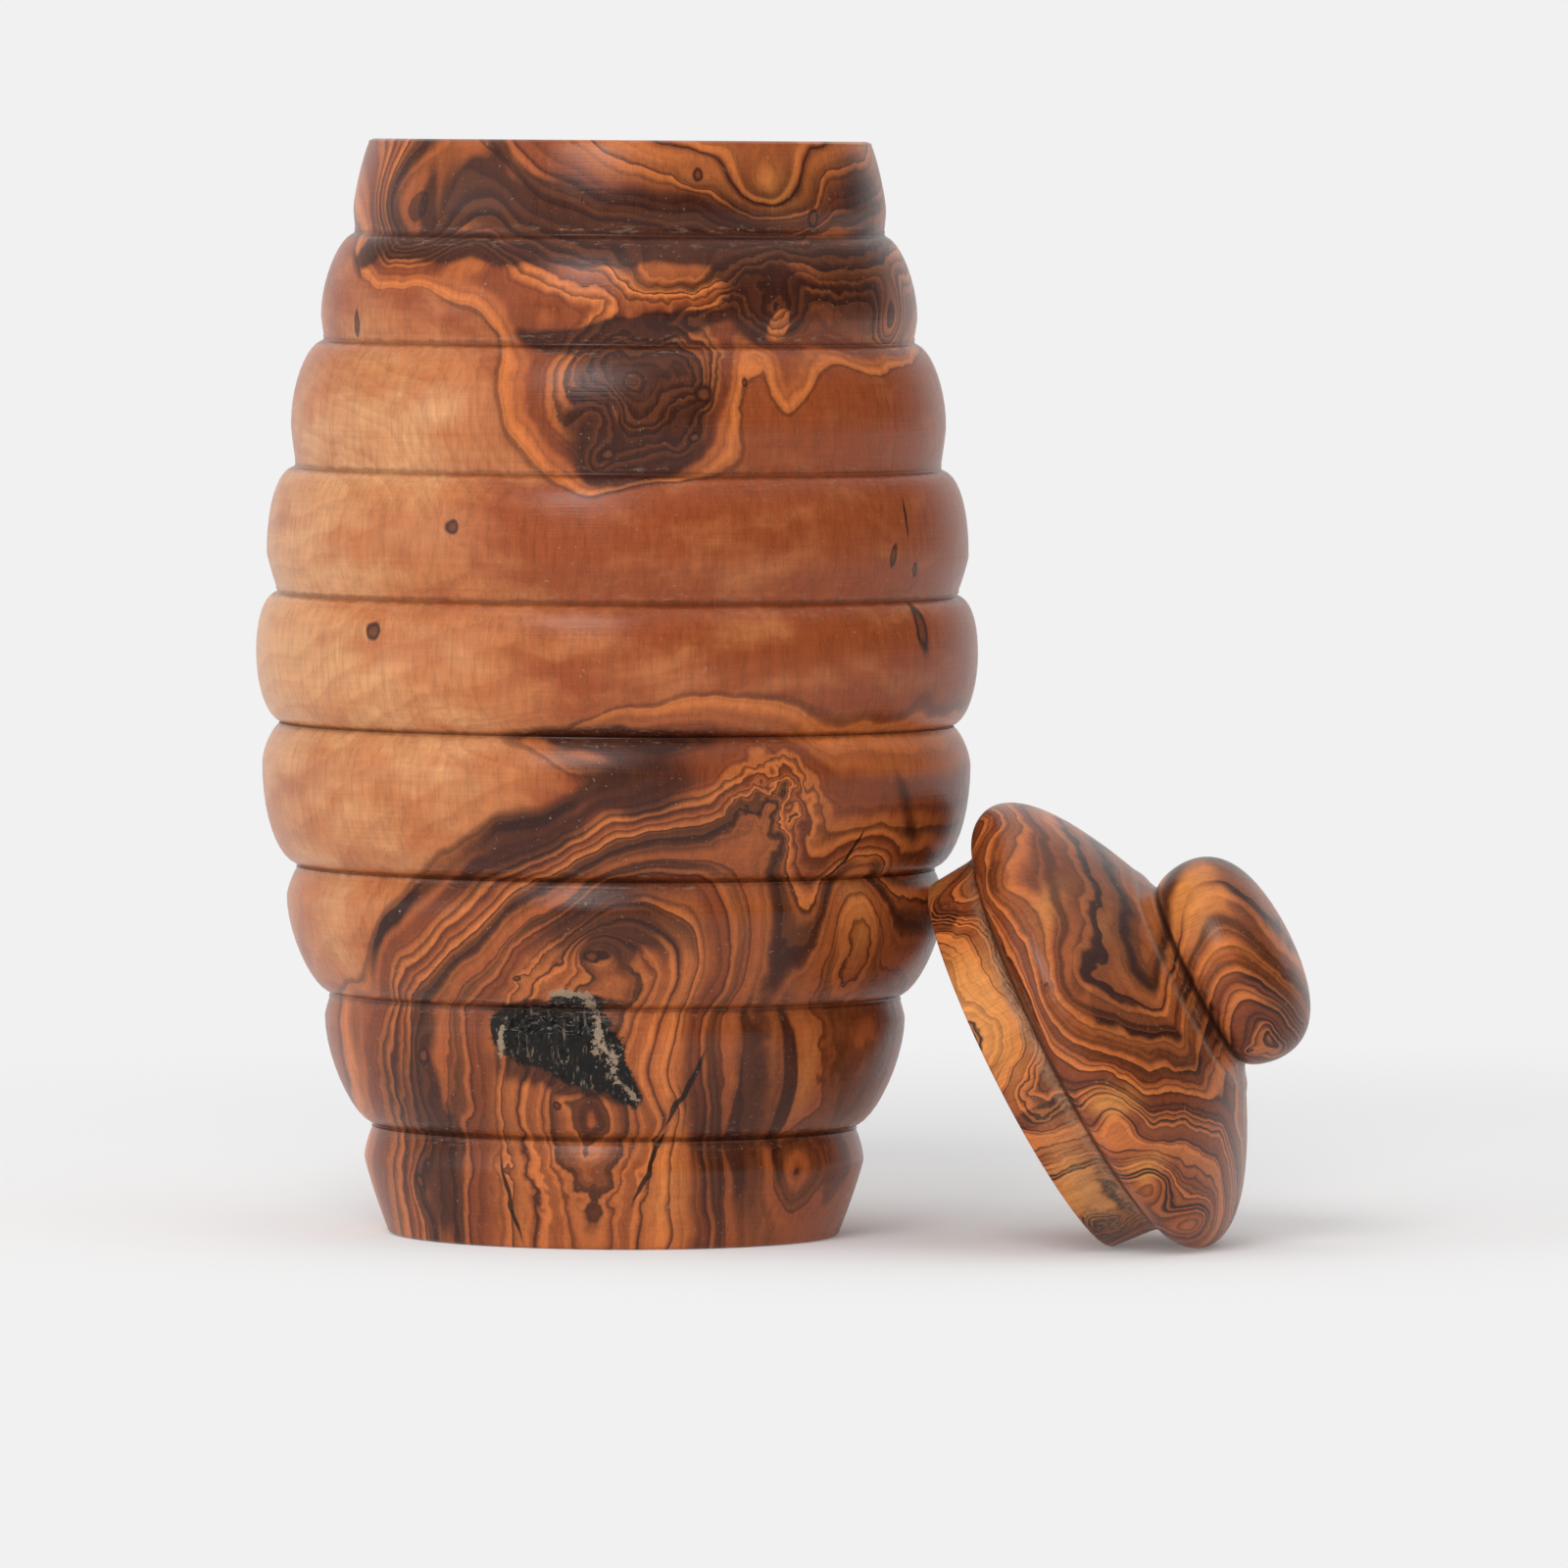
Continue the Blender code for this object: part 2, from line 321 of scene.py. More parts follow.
def press_bark(piece):
    shape = bmesh.new()
    shape.from_mesh(piece.data)
    near = [face for face in shape.faces if near_bark(face.calc_center_median())]
    edges = list(dict.fromkeys(edge for face in near for edge in face.edges))
    bmesh.ops.subdivide_edges(shape, edges=edges, cuts=BARK_CUTS, use_grid_fill=True)
    pressed = 0
    for vert in shape.verts:
        share = bark_share(vert.co) if on_outside(vert.co) else 0.0
        if share > 0.0 and abs(bark_offset(vert.co)[0]) < 2 * BARK_HALF[0]:
            vert.co -= vert.normal * (BARK_DEPTH * MM * share * torn_share(vert.co))
            pressed += 1
    bmesh.ops.recalc_face_normals(shape, faces=shape.faces)
    shape.to_mesh(piece.data)
    shape.free()
    print("pressed in", pressed, "points of", len(piece.data.vertices))


press_bark(jar)

# %% [markdown]
# The lid is one outline too: a shallow dish in the end of the spigot, the spigot with its
# flare, the flange that rolls over into the dome, a fine crest where the dome turns into
# the hollow of the neck, the neck and the knob. The heights start at the flange's underside,
# which rests on the jar's rim when the lid is on.

# %% the lid's sizes, in millimetres
SPIGOT_RADIUS = 24.3
SPIGOT_DRAFT = 0.4
SPIGOT_LENGTH = 7.1
SPIGOT_ROUND = 0.35
FLARE_GROWTH = 1.2
FLARE_LENGTH = 2.1
DISH_DEPTH = 3.0
DISH_LIP = 4.0
DISH_FLAT = 0.5               # the dish's flat middle, as a share of its radius
DISH_FULLNESS = 0.5
FLANGE_RADIUS = 28.9
FLANGE_HEIGHT = 3.6
DOME_HEIGHT = 12.8
DOME_SLOPE = math.radians(64)
DOME_BULGE = 5.6              # how far the dome's curve runs on upright at the flange
DOME_EASE = 4.7               # and along its slope at the neck
NECK_RADIUS = 11.45
NECK_EDGE = 0.5
NECK_HEIGHT = 0.6
KNOB_RADIUS = 12.85
KNOB_UNDERSIDE = 3.9
KNOB_CAP = 7.2
KNOB_FULLNESS = (0.45, 0.67)  # of the knob's underside and of its cap
CREST_RADIUS = 14.4
CREST_HEIGHT = 0.16
CREST_WIDTH = 0.5
DISH_STEPS = 10
FLARE_STEPS = 5
ROLL_STEPS = 12
DOME_STEPS = 60
KNOB_STEPS = (10, 20)

print("the lid's dome starts", round(SPIGOT_LENGTH + FLANGE_HEIGHT, 1), "mm above its spigot's end")


# %% the lid's outline
def crest(radius):
    """How far the crest stands up out of the dome at a radius."""
    return CREST_HEIGHT * math.exp(-((radius - CREST_RADIUS) / CREST_WIDTH) ** 2)


def lid_outline():
    """From the dish's middle round the spigot, the flange and the dome to the knob's top."""
    end = at(SPIGOT_RADIUS - SPIGOT_DRAFT, -SPIGOT_LENGTH)
    dish_edge = at(end.x - DISH_LIP, end.z)
    dish_floor = at(dish_edge.x * DISH_FLAT, end.z + DISH_DEPTH)
    flare_start = at(SPIGOT_RADIUS, -FLARE_LENGTH)
    root = at(SPIGOT_RADIUS + FLARE_GROWTH, 0.0)
    flange = at(FLANGE_RADIUS, FLANGE_HEIGHT)
    dome_end = at(NECK_RADIUS + NECK_EDGE, FLANGE_HEIGHT + DOME_HEIGHT)
    neck = at(NECK_RADIUS, dome_end.z + NECK_HEIGHT)
    knob = at(KNOB_RADIUS, neck.z + KNOB_UNDERSIDE)
    top = at(0.0, knob.z + KNOB_CAP)
    slope = at(math.sin(DOME_SLOPE), -math.cos(DOME_SLOPE))
    roll = (flange - root) / 2
    points = [dish_floor] + swell(dish_floor, dish_edge, DISH_FULLNESS, DISH_STEPS)
    points += [end, flare_start]
    straight = flare_start + at(0.0, FLARE_LENGTH / 2)
    points += curve(flare_start, straight, root - at(FLARE_GROWTH / 3, 0.0), root, FLARE_STEPS)
    points += curve(root, root + at(roll.x, 0.0), flange - at(0.0, roll.z), flange, ROLL_STEPS)
    upright = flange + at(0.0, DOME_BULGE)
    dome = curve(flange, upright, dome_end + slope * DOME_EASE, dome_end, DOME_STEPS)
    points += [point + at(0.0, crest(point.x)) for point in dome]
    points.append(neck)
    points += swell(neck, knob, KNOB_FULLNESS[0], KNOB_STEPS[0])
    points += fall(knob, top, KNOB_FULLNESS[1], KNOB_STEPS[1])
    return rounded(points, end, SPIGOT_ROUND, EDGE_STEPS)


print("the lid's outline has", len(lid_outline()), "points")

# %% [markdown]
# The lid lies on the edge of its flange and the end of its spigot, and its knob is swung a
# little towards the front. A matrix turns it so, and then its own box is brought to the box
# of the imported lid, so that it lies where the model says.

# %% laying the lid
LID_TILT = math.radians(27.29)
LID_SWING = math.radians(9.4)


def lid_place():
    """Turns the lid as it lies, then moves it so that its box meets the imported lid's."""
    turn = Matrix.Rotation(-LID_SWING, 4, "Z") @ Matrix.Rotation(math.pi / 2 - LID_TILT, 4, "Y")
    outline = lid_outline()
    spins = [Matrix.Rotation(2 * math.pi * step / TURN_STEPS, 4, "Z") for step in range(TURN_STEPS)]
    points = [turn @ (spin @ (point * MM)) for spin in spins for point in outline]
    lowest = Vector(min(point[axis] for point in points) for axis in range(3))
    highest = Vector(max(point[axis] for point in points) for axis in range(3))
    low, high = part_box("lid")
    middle = (low + high) / 2 - (lowest + highest) / 2
    middle.z = low.z - lowest.z
    return Matrix.Translation(middle) @ turn


lid_turn = lid_place()
lid = turned("turned_lid", lid_outline(), lid_turn)
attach(lid, "lid")
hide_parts("lid")
print("lid origin", tuple(round(v / MM, 2) for v in lid_turn.translation))

# %% [markdown]
# Everything in the wood is worked out in millimetres from Object coordinates, so the figure
# is cut by the surface as the tool cut it. Each helper adds a node or two and links them.

# %% node helpers
def plug(tree, socket, value):
    """Links an output to an input, or types a plain value into it."""
    if isinstance(value, bpy.types.NodeSocket):
        tree.links.new(value, socket)
    else:
        socket.default_value = value


def sums(tree, operation, *values, clamp=False):
    """A Math node."""
    node = tree.nodes.new("ShaderNodeMath")
    node.operation = operation
    node.use_clamp = clamp
    for socket, value in zip(node.inputs, values):
        plug(tree, socket, value)
    return node.outputs[0]


def times(tree, first, second, clamp=False):
    """The product of two values."""
    return sums(tree, "MULTIPLY", first, second, clamp=clamp)


def swing(tree, value):
    """How far a noise swings from its middle, -0.5 to 0.5."""
    return sums(tree, "SUBTRACT", value, 0.5)


def vectors(tree, operation, *values):
    """A Vector Math node."""
    node = tree.nodes.new("ShaderNodeVectorMath")
    node.operation = operation
    for socket, value in zip(node.inputs, values):
        plug(tree, socket, value)
    return node.outputs["Value" if operation == "LENGTH" else "Vector"]


def parts_of(tree, vector):
    """The X, Y and Z of a vector."""
    node = tree.nodes.new("ShaderNodeSeparateXYZ")
    plug(tree, node.inputs[0], vector)
    return node.outputs


def fade(tree, value, low, high, start=0.0, end=1.0):
    """A soft step: start below low, end above high."""
    node = tree.nodes.new("ShaderNodeMapRange")
    node.interpolation_type = "SMOOTHSTEP"
    for socket, number in zip(node.inputs, (value, low, high, start, end)):
        plug(tree, socket, number)
    return node.outputs[0]


def mapped(tree, kind, vector, place=(0, 0, 0), turn=(0, 0, 0), scale=(1, 1, 1)):
    """A Mapping node. TEXTURE brings a point into a spot's own axes, POINT stretches a pattern."""
    node = tree.nodes.new("ShaderNodeMapping")
    node.vector_type = kind
    for title, value in (("Vector", vector), ("Location", place), ("Rotation", turn), ("Scale", scale)):
        plug(tree, node.inputs[title], value)
    return node.outputs[0]


# %% helpers for noise and colour
def noise(tree, vector, size, detail=2.0, rough=0.5):
    """A Noise Texture whose features are about the size given, in millimetres."""
    node = tree.nodes.new("ShaderNodeTexNoise")
    plug(tree, node.inputs["Vector"], vector)
    node.inputs["Scale"].default_value = 1.0 / size
    node.inputs["Detail"].default_value = detail
    node.inputs["Roughness"].default_value = rough
    return node.outputs


def grained(tree, vector, stretch, size, detail, rough):
    """Noise on a stretched point. A stretch below 1 along an axis makes it longer there."""
    return noise(tree, mapped(tree, "POINT", vector, scale=stretch), size, detail, rough)[0]


def noise_along(tree, value, size, detail=1.0):
    """One-dimensional noise that changes along a value."""
    node = tree.nodes.new("ShaderNodeTexNoise")
    node.noise_dimensions = "1D"
    plug(tree, node.inputs["W"], value)
    node.inputs["Scale"].default_value = 1.0 / size
    node.inputs["Detail"].default_value = detail
    return node.outputs[0]


def blend(tree, share, first, second, how="MIX"):
    """A Mix node for colours."""
    node = tree.nodes.new("ShaderNodeMix")
    node.data_type = "RGBA"
    node.blend_type = how
    plug(tree, node.inputs[0], share)
    plug(tree, node.inputs[6], first)
    plug(tree, node.inputs[7], second)
    return node.outputs[2]


def stain(tree, mask, cover, colour, paint):
    """Lets a paint cover a colour where a mask is 1, as strongly as cover says."""
    return blend(tree, times(tree, mask, cover), colour, paint)


# %% helpers for groups
def new_group(name, inputs, outputs):
    """An empty node group with named sockets, and its two ends."""
    tree = bpy.data.node_groups.new(name, "ShaderNodeTree")
    for title, kind in inputs:
        tree.interface.new_socket(title, in_out="INPUT", socket_type="NodeSocket" + kind)
    for title, kind in outputs:
        tree.interface.new_socket(title, in_out="OUTPUT", socket_type="NodeSocket" + kind)
    return tree, tree.nodes.new("NodeGroupInput").outputs, tree.nodes.new("NodeGroupOutput").inputs


def use(tree, group, **values):
    """Places a group and fills its inputs, whose names have spaces where the arguments have _."""
    node = tree.nodes.new("ShaderNodeGroup")
    node.node_tree = group
    for title, value in values.items():
        plug(tree, node.inputs[title.replace("_", " ")], value)
    return node.outputs


# %% [markdown]
# Olive grows in swells and hollows, and a turner cuts straight through them. So the figure
# is a height map of growth, like the contours on a walker's map. A core is a body of dark
# heartwood. It is an ellipsoid, or where Open is 1 an arch that goes on downwards for ever,
# and its Slant carries it sideways as it rises. A swell is a soft hill that pushes the
# contours aside. Each is one group, placed many times with its own place, turn and size.

# %% the group for a heart core
SPOT_INPUTS = [("Vector", "Vector"), ("Place", "Vector"), ("Turn", "Vector"), ("Size", "Vector")]


def make_core_group():
    inputs = SPOT_INPUTS + [("Slant", "Float"), ("Open", "Float"), ("Reach", "Float")]
    tree, given, out = new_group("heart core", inputs, [("Depth", "Float")])
    own = mapped(tree, "TEXTURE", given["Vector"], given["Place"], given["Turn"])
    parts = parts_of(tree, own)
    shut = sums(tree, "SUBTRACT", 1.0, given["Open"])
    rise = sums(tree, "MAXIMUM", parts["Z"], times(tree, parts["Z"], shut))
    across = sums(tree, "SUBTRACT", parts["X"], times(tree, rise, given["Slant"]))
    whole = tree.nodes.new("ShaderNodeCombineXYZ")
    for socket, value in zip(whole.inputs, (across, parts["Y"], rise)):
        plug(tree, socket, value)
    share = vectors(tree, "DIVIDE", whole.outputs[0], given["Size"])
    past = sums(tree, "SUBTRACT", vectors(tree, "LENGTH", share), 1.0)
    plug(tree, out["Depth"], times(tree, past, given["Reach"]))
    return tree


CORE = make_core_group()
print(CORE.name, "has", len(CORE.nodes), "nodes")

# %% groups for a swell and for restless grain
WARP_SIZES = (("Broad", 26.0, 0.4), ("Middle", 7.0, 0.55), ("Fine", 2.2, 0.7))     # mm, squeeze upwards


def ball(tree, given):
    """1 in the middle of a spot, falling evenly to 0 at its edge."""
    own = mapped(tree, "TEXTURE", given["Vector"], given["Place"], given["Turn"], given["Size"])
    gradient = tree.nodes.new("ShaderNodeTexGradient")
    gradient.gradient_type = "SPHERICAL"
    plug(tree, gradient.inputs["Vector"], own)
    return gradient.outputs[1]


def make_swell_group():
    tree, given, out = new_group("swell", SPOT_INPUTS + [("Lift", "Float")], [("Value", "Float")])
    hill = fade(tree, ball(tree, given), 0.0, 1.0)
    plug(tree, out["Value"], times(tree, hill, given["Lift"]))
    return tree


def make_warp_group():
    """Pushes points about by noise of three sizes, longer up the tree than across it."""
    inputs = [("Vector", "Vector")] + [(title, "Float") for title, size, squeeze in WARP_SIZES]
    tree, given, out = new_group("restless grain", inputs, [("Vector", "Vector")])
    total = given["Vector"]
    for title, size, squeeze in WARP_SIZES:
        stretched = mapped(tree, "POINT", given["Vector"], scale=(1, 1, squeeze))
        push = vectors(tree, "SUBTRACT", noise(tree, stretched, size, 1.0)[1], (0.5, 0.5, 0.5))
        scaled = tree.nodes.new("ShaderNodeVectorMath")
        scaled.operation = "SCALE"
        plug(tree, scaled.inputs["Vector"], push)
        plug(tree, scaled.inputs["Scale"], given[title])
        total = vectors(tree, "ADD", total, scaled.outputs["Vector"])
    plug(tree, out["Vector"], total)
    return tree


SWELL = make_swell_group()
WARP = make_warp_group()
print(SWELL.name, "has", len(SWELL.nodes), "nodes,", WARP.name, "has", len(WARP.nodes))

# %% [markdown]
# A growth line is pale on the side that grew in spring and darkens slowly, then stops
# short. The fraction of growth over spacing gives that saw tooth: Line is the thin dark end
# of it, and Soft the broad darkening before. Each line gets its own strength from white
# noise on its number. Slow noise along the growth gathers lines into dark bands and gives
# each stretch of them its tone.

# %% the group for growth lines
DRIFT = (3.2, 2.0)            # over how many lines the spacing wanders, and by how many
WEAKEST_LINE = 0.2
LINE_STOP = 0.88              # where in its year a line is darkest; it is gone by the year's end
THIN_START = 0.45
BROAD_SPAN = (0.1, 0.92)
BAND_LINES = 2.3
BAND_DETAIL = 1.5
TONE_LINES = 2.6
TONE_SHIFT = 71.3             # the tone reads the noise elsewhere than the bands do


def make_line_group():
    inputs = [("Growth", "Float"), ("Spacing", "Float")]
    outputs = [("Line", "Float"), ("Soft", "Float"), ("Band", "Float"), ("Tone", "Float")]
    tree, given, out = new_group("growth lines", inputs, outputs)
    even = sums(tree, "DIVIDE", given["Growth"], given["Spacing"])
    uneven = sums(tree, "MULTIPLY_ADD", noise_along(tree, even, DRIFT[0]), DRIFT[1], even)
    part = sums(tree, "FRACT", uneven)
    number = sums(tree, "FLOOR", uneven)
    white = tree.nodes.new("ShaderNodeTexWhiteNoise")
    white.noise_dimensions = "1D"
    plug(tree, white.inputs["W"], number)
    strength = fade(tree, white.outputs["Value"], 0.0, 1.0, WEAKEST_LINE, 1.0)
    drop = fade(tree, part, LINE_STOP, 1.0, 1.0, 0.0)
    thin = times(tree, fade(tree, part, THIN_START, LINE_STOP), drop)
    broad = times(tree, fade(tree, part, *BROAD_SPAN), drop)
    plug(tree, out["Line"], times(tree, thin, strength))
    plug(tree, out["Soft"], times(tree, broad, strength))
    plug(tree, out["Band"], noise_along(tree, uneven, BAND_LINES, BAND_DETAIL))
    plug(tree, out["Tone"], noise_along(tree, sums(tree, "ADD", uneven, TONE_SHIFT), TONE_LINES))
    return tree


LINES = make_line_group()
print(LINES.name, "has", len(LINES.nodes), "nodes")

# %% [markdown]
# Fibres run up the tree, so their noise is stretched along Z, and pores are short specks
# among them. A turning tool leaves fine rings round the axis, so that noise is stretched
# across Z instead.

# %% groups for fibres and tool marks
# Stretch, size in millimetres, detail and roughness of each noise
FINE_FIBRES = ((1, 1, 0.09), 0.2, 2.0, 0.6)
COARSE_FIBRES = ((1, 1, 0.16), 0.9, 2.0, 0.6)
COARSE_SHARE = 0.55
FINE_SHARE = 0.45
PORE_SPECKS = ((1, 1, 0.25), 0.12, 0.0, 0.5)
PORE_FADE = (0.66, 0.82)
TOOL_RINGS = ((0.02, 0.02, 1), 0.28, 3.0, 0.65)


def make_fibre_group():
    outputs = [("Value", "Float"), ("Pores", "Float")]
    tree, given, out = new_group("fibre", [("Vector", "Vector")], outputs)
    fine = grained(tree, given["Vector"], *FINE_FIBRES)
    coarse = grained(tree, given["Vector"], *COARSE_FIBRES)
    fine_part = times(tree, fine, FINE_SHARE)
    plug(tree, out["Value"], sums(tree, "MULTIPLY_ADD", coarse, COARSE_SHARE, fine_part))
    specks = grained(tree, given["Vector"], *PORE_SPECKS)
    plug(tree, out["Pores"], fade(tree, specks, *PORE_FADE))
    return tree


def make_tool_group():
    tree, given, out = new_group("tool marks", [("Vector", "Vector")], [("Height", "Float")])
    plug(tree, out["Height"], grained(tree, given["Vector"], *TOOL_RINGS))
    return tree


FIBRE = make_fibre_group()
TOOL = make_tool_group()
print(FIBRE.name, "has", len(FIBRE.nodes), "nodes,", TOOL.name, "has", len(TOOL.nodes))

# %% [markdown]
# A knot is the foot of a twig: a dark rim round a reddish heart. The same group, made long
# and thin, gives the short cracks. Its edge is ragged, because the point it is given has
# already been pushed about by the restless grain.

# %% the group for knots and cracks
KNOT_RIM = (0.05, 0.4)        # from the edge inwards, as a share of the way to the middle
KNOT_HEART = (0.45, 0.75)


def make_knot_group():
    tree, given, out = new_group("knot", SPOT_INPUTS, [("Dark", "Float"), ("Heart", "Float")])
    inside = ball(tree, given)
    plug(tree, out["Dark"], fade(tree, inside, *KNOT_RIM))
    plug(tree, out["Heart"], fade(tree, inside, *KNOT_HEART))
    return tree


KNOT = make_knot_group()
print(KNOT.name, "has", len(KNOT.nodes), "nodes")

# %% [markdown]
# The bottom of each groove is darker: painted shade where the groove's own shadow falls, and
# on the lid a painted shadow under the flange's overhang. The tool tears a few fibres beside
# it that stay pale. Where both lie depends on how far the nearest groove is, up or down,
# which a noise makes a little uneven. A second noise picks the fibres.

# %% painted shade in the grooves
SHAKE_SIZE = 1.6              # mm, as are the next four
FAR_OFF = 100.0
# painted shade: how far from a groove's bottom it is darkened, in mm
GROOVE_SHADE_FADE = (0.15, 0.6)
TORN_START = (0.3, 0.6)
TORN_END = (0.9, 1.6)
TORN_FIBRES = ((0.5, 0.5, 2.2), 0.8, 3.0, 0.7)
TORN_FADE = (0.54, 0.66)      # of the fibres' noise


def groove_marks(tree, vector, heights, shake):
    """Masks for the painted shade in the bottom of each groove and the torn fibres beside it, and the
    height.
    """
    shaky = times(tree, swing(tree, noise(tree, vector, SHAKE_SIZE)[0]), shake)
    level = parts_of(tree, vector)["Z"]
    away = FAR_OFF
    for height in heights:
        above = sums(tree, "ABSOLUTE", sums(tree, "SUBTRACT", level, height))
        away = sums(tree, "MINIMUM", away, above)
    away = sums(tree, "ADD", away, shaky)
    # painted shade, darkest at the bottom of a groove
    line = fade(tree, away, *GROOVE_SHADE_FADE, 1.0, 0.0)
    torn = fade(tree, grained(tree, vector, *TORN_FIBRES), *TORN_FADE)
    beside = times(tree, fade(tree, away, *TORN_START), fade(tree, away, *TORN_END, 1.0, 0.0))
    return line, times(tree, torn, beside), level


print("dirt reaches", GROOVE_SHADE_FADE[1], "mm from a groove, torn fibres", TORN_END[1])

# %% [markdown]
# Bark is nearly black, with grey and beige strands along the grain, and a rough pale crust
# where it met the wood. The same grit frays the pocket's edge and breaks up the crust.

# %% the group for bark
BARK_STRANDS = ((1, 1, 0.14), 0.5, 3.0, 0.7)
STRAND_FADE = (0.56, 0.68, 0.0, 0.55)
BARK_GRIT = (0.55, 4.0, 0.75)
BARK_FRAY = 0.6
BARK_FADE = (0.14, 0.3)
STRANDS_FROM = (0.25, 0.4)    # strands show this deep in
CRUST_FRAY = 3.0
CRUST_FADE = (0.42, 0.62)


def make_bark_group():
    inputs = [("Vector", "Vector"), ("Inside", "Float"), ("Edge", "Float")]
    tree, given, out = new_group("bark", inputs, [("Mask", "Float"), ("Crust", "Float")])
    strands = grained(tree, given["Vector"], *BARK_STRANDS)
    grit = noise(tree, given["Vector"], *BARK_GRIT)[0]
    ragged = sums(tree, "MULTIPLY_ADD", swing(tree, grit), BARK_FRAY, given["Inside"])
    plug(tree, out["Mask"], fade(tree, ragged, *BARK_FADE))
    rough_edge = sums(tree, "MULTIPLY_ADD", swing(tree, grit), CRUST_FRAY, given["Edge"])
    crust = fade(tree, rough_edge, *CRUST_FADE)
    pale_strand = fade(tree, strands, *STRAND_FADE)
    pale_strand = times(tree, pale_strand, fade(tree, ragged, *STRANDS_FROM))
    plug(tree, out["Crust"], sums(tree, "MAXIMUM", crust, pale_strand))
    return tree


BARK = make_bark_group()
print(BARK.name, "has", len(BARK.nodes), "nodes")

# %% [markdown]
# A spot's middle lies on the turned surface, so its place is only how far round from the
# front it is, in degrees, and how high, in millimetres. Its lean tips it to the right, and
# its size is half its width, depth and height.

# %% placing spots
def radius_at(side, height):
    """How far out the turned surface is at a height."""
    for lower, upper in zip(side, side[1:]):
        if lower.z <= height <= upper.z:
            share = (height - lower.z) / max(upper.z - lower.z, 1e-6)
            return lower.x + share * (upper.x - lower.x)
    return side[-1].x


def spot(side, around, height, lean, wide, deep, tall):
    """Place, turn and size of a spot, for the group's sockets."""
    angle = math.radians(around)
    out = radius_at(side, height)
    place = (out * math.sin(angle), -out * math.cos(angle), height)
    return {"Place": place, "Turn": (0.0, math.radians(lean), angle), "Size": (wide, deep, tall)}


print("a spot at the front, 50 mm up:", spot([at(40, 0), at(40, 100)], 0, 50, 0, 1, 1, 1)["Place"])

# %% adding spots up
HILL_FOOT = 1.7               # a hill's foot is this many times as far out as its row says
KNOT_FOOT = 1.3               # and so is a knot's edge


def total_of(tree, side, vector, rows):
    """The sum of many swells. A row is around, height, lean, wide, tall and lift."""
    total = 0.0
    for around, height, lean, wide, tall, lift in rows:
        sizes = [HILL_FOOT * size for size in (wide, max(wide, tall), tall)]
        own = spot(side, around, height, lean, *sizes)
        total = sums(tree, "ADD", total, use(tree, SWELL, Vector=vector, Lift=lift, **own)[0])
    return total


def nearest_core(tree, vector, rows, softness):
    """How far a point lies outside the nearest core, in millimetres. Inside, it is below 0."""
    depth = None
    for place, turn, size, slant, opened, reach in rows:
        turned_by = (0.0, 0.0, math.radians(turn))
        own = use(tree, CORE, Vector=vector, Place=place, Turn=turned_by, Size=size,
                  Slant=slant, Open=opened, Reach=reach)[0]
        depth = own if depth is None else sums(tree, "SMOOTH_MIN", depth, own, softness)
    return depth


def darkest_knot(tree, side, vector, rows):
    """The union of many knots or cracks. A row is around, height, lean, wide and tall."""
    dark = heart = 0.0
    for around, height, lean, wide, tall in rows:
        sizes = [KNOT_FOOT * size for size in (wide, max(wide, tall), tall)]
        own = use(tree, KNOT, Vector=vector, **spot(side, around, height, lean, *sizes))
        dark = sums(tree, "MAXIMUM", dark, own["Dark"])
        heart = sums(tree, "MAXIMUM", heart, own["Heart"])
    return dark, heart


print("a hill of half width 10 mm starts", 10 * HILL_FOOT, "mm from its middle")

# %% [markdown]
# The colours of fresh oiled olive, from the pale sapwood under the bark to the nearly black
# lines in the heart.

# %% colours
SAP_PALE = (0.66, 0.315, 0.135, 1)
SAP_TAN = (0.50, 0.165, 0.055, 1)
SAP_RED = (0.30, 0.064, 0.017, 1)
HEART_ORANGE = (0.66, 0.185, 0.045, 1)
HEART_RED = (0.275, 0.061, 0.018, 1)
HEART_GOLD = (0.72, 0.27, 0.065, 1)
CHOCOLATE = (0.042, 0.011, 0.006, 1)
LINE_DARK = (0.036, 0.009, 0.005, 1)
KNOT_RED = (0.22, 0.06, 0.020, 1)
BARK_BLACK = (0.004, 0.003, 0.002, 1)
# the bark's crust and torn fibres; also the colour of the crest's pale line, partly a painted highlight
PALE_CRUST_AND_HIGHLIGHT = (0.34, 0.24, 0.165, 1)
DRY = (0.40, 0.235, 0.13, 1)
print("the heartwood is", round(HEART_ORANGE[0] / CHOCOLATE[0]), "times as bright as its darkest bands")

# %% [markdown]
# Heartwood is orange or red by the tone of its lines. Where a gold row says so it is clear
# and golden, and its lines fade. A shade row, or a band of the growth lines, makes it brown,
# a little less so between the lines. Strokes are single dark lines that follow one height
# of the growth map, like one contour drawn thicker: a row is that height, its half width,
# its strength, and rows of swells that make it stronger at some places.
#
# Sapwood is plain, from red through tan to pale. Pale rows and a patchy noise choose.

# %% heartwood
TONE_FADE = (0.35, 0.65)
SOFT_COVER = 0.7              # covers say how strongly a mark hides what is under it
LINE_COVER = 0.78
LINES_IN_GOLD = (0.1, 0.8, 1.0, 0.2)
BROWN_FADE = (0.45, 0.70)
IN_LINES = (0.0, 0.5)         # how dark Soft has to be for a point to be in a line
BROWN_IN_LINES = 0.97
STROKE_CORE = 0.15            # the share of its half width in which a stroke is darkest


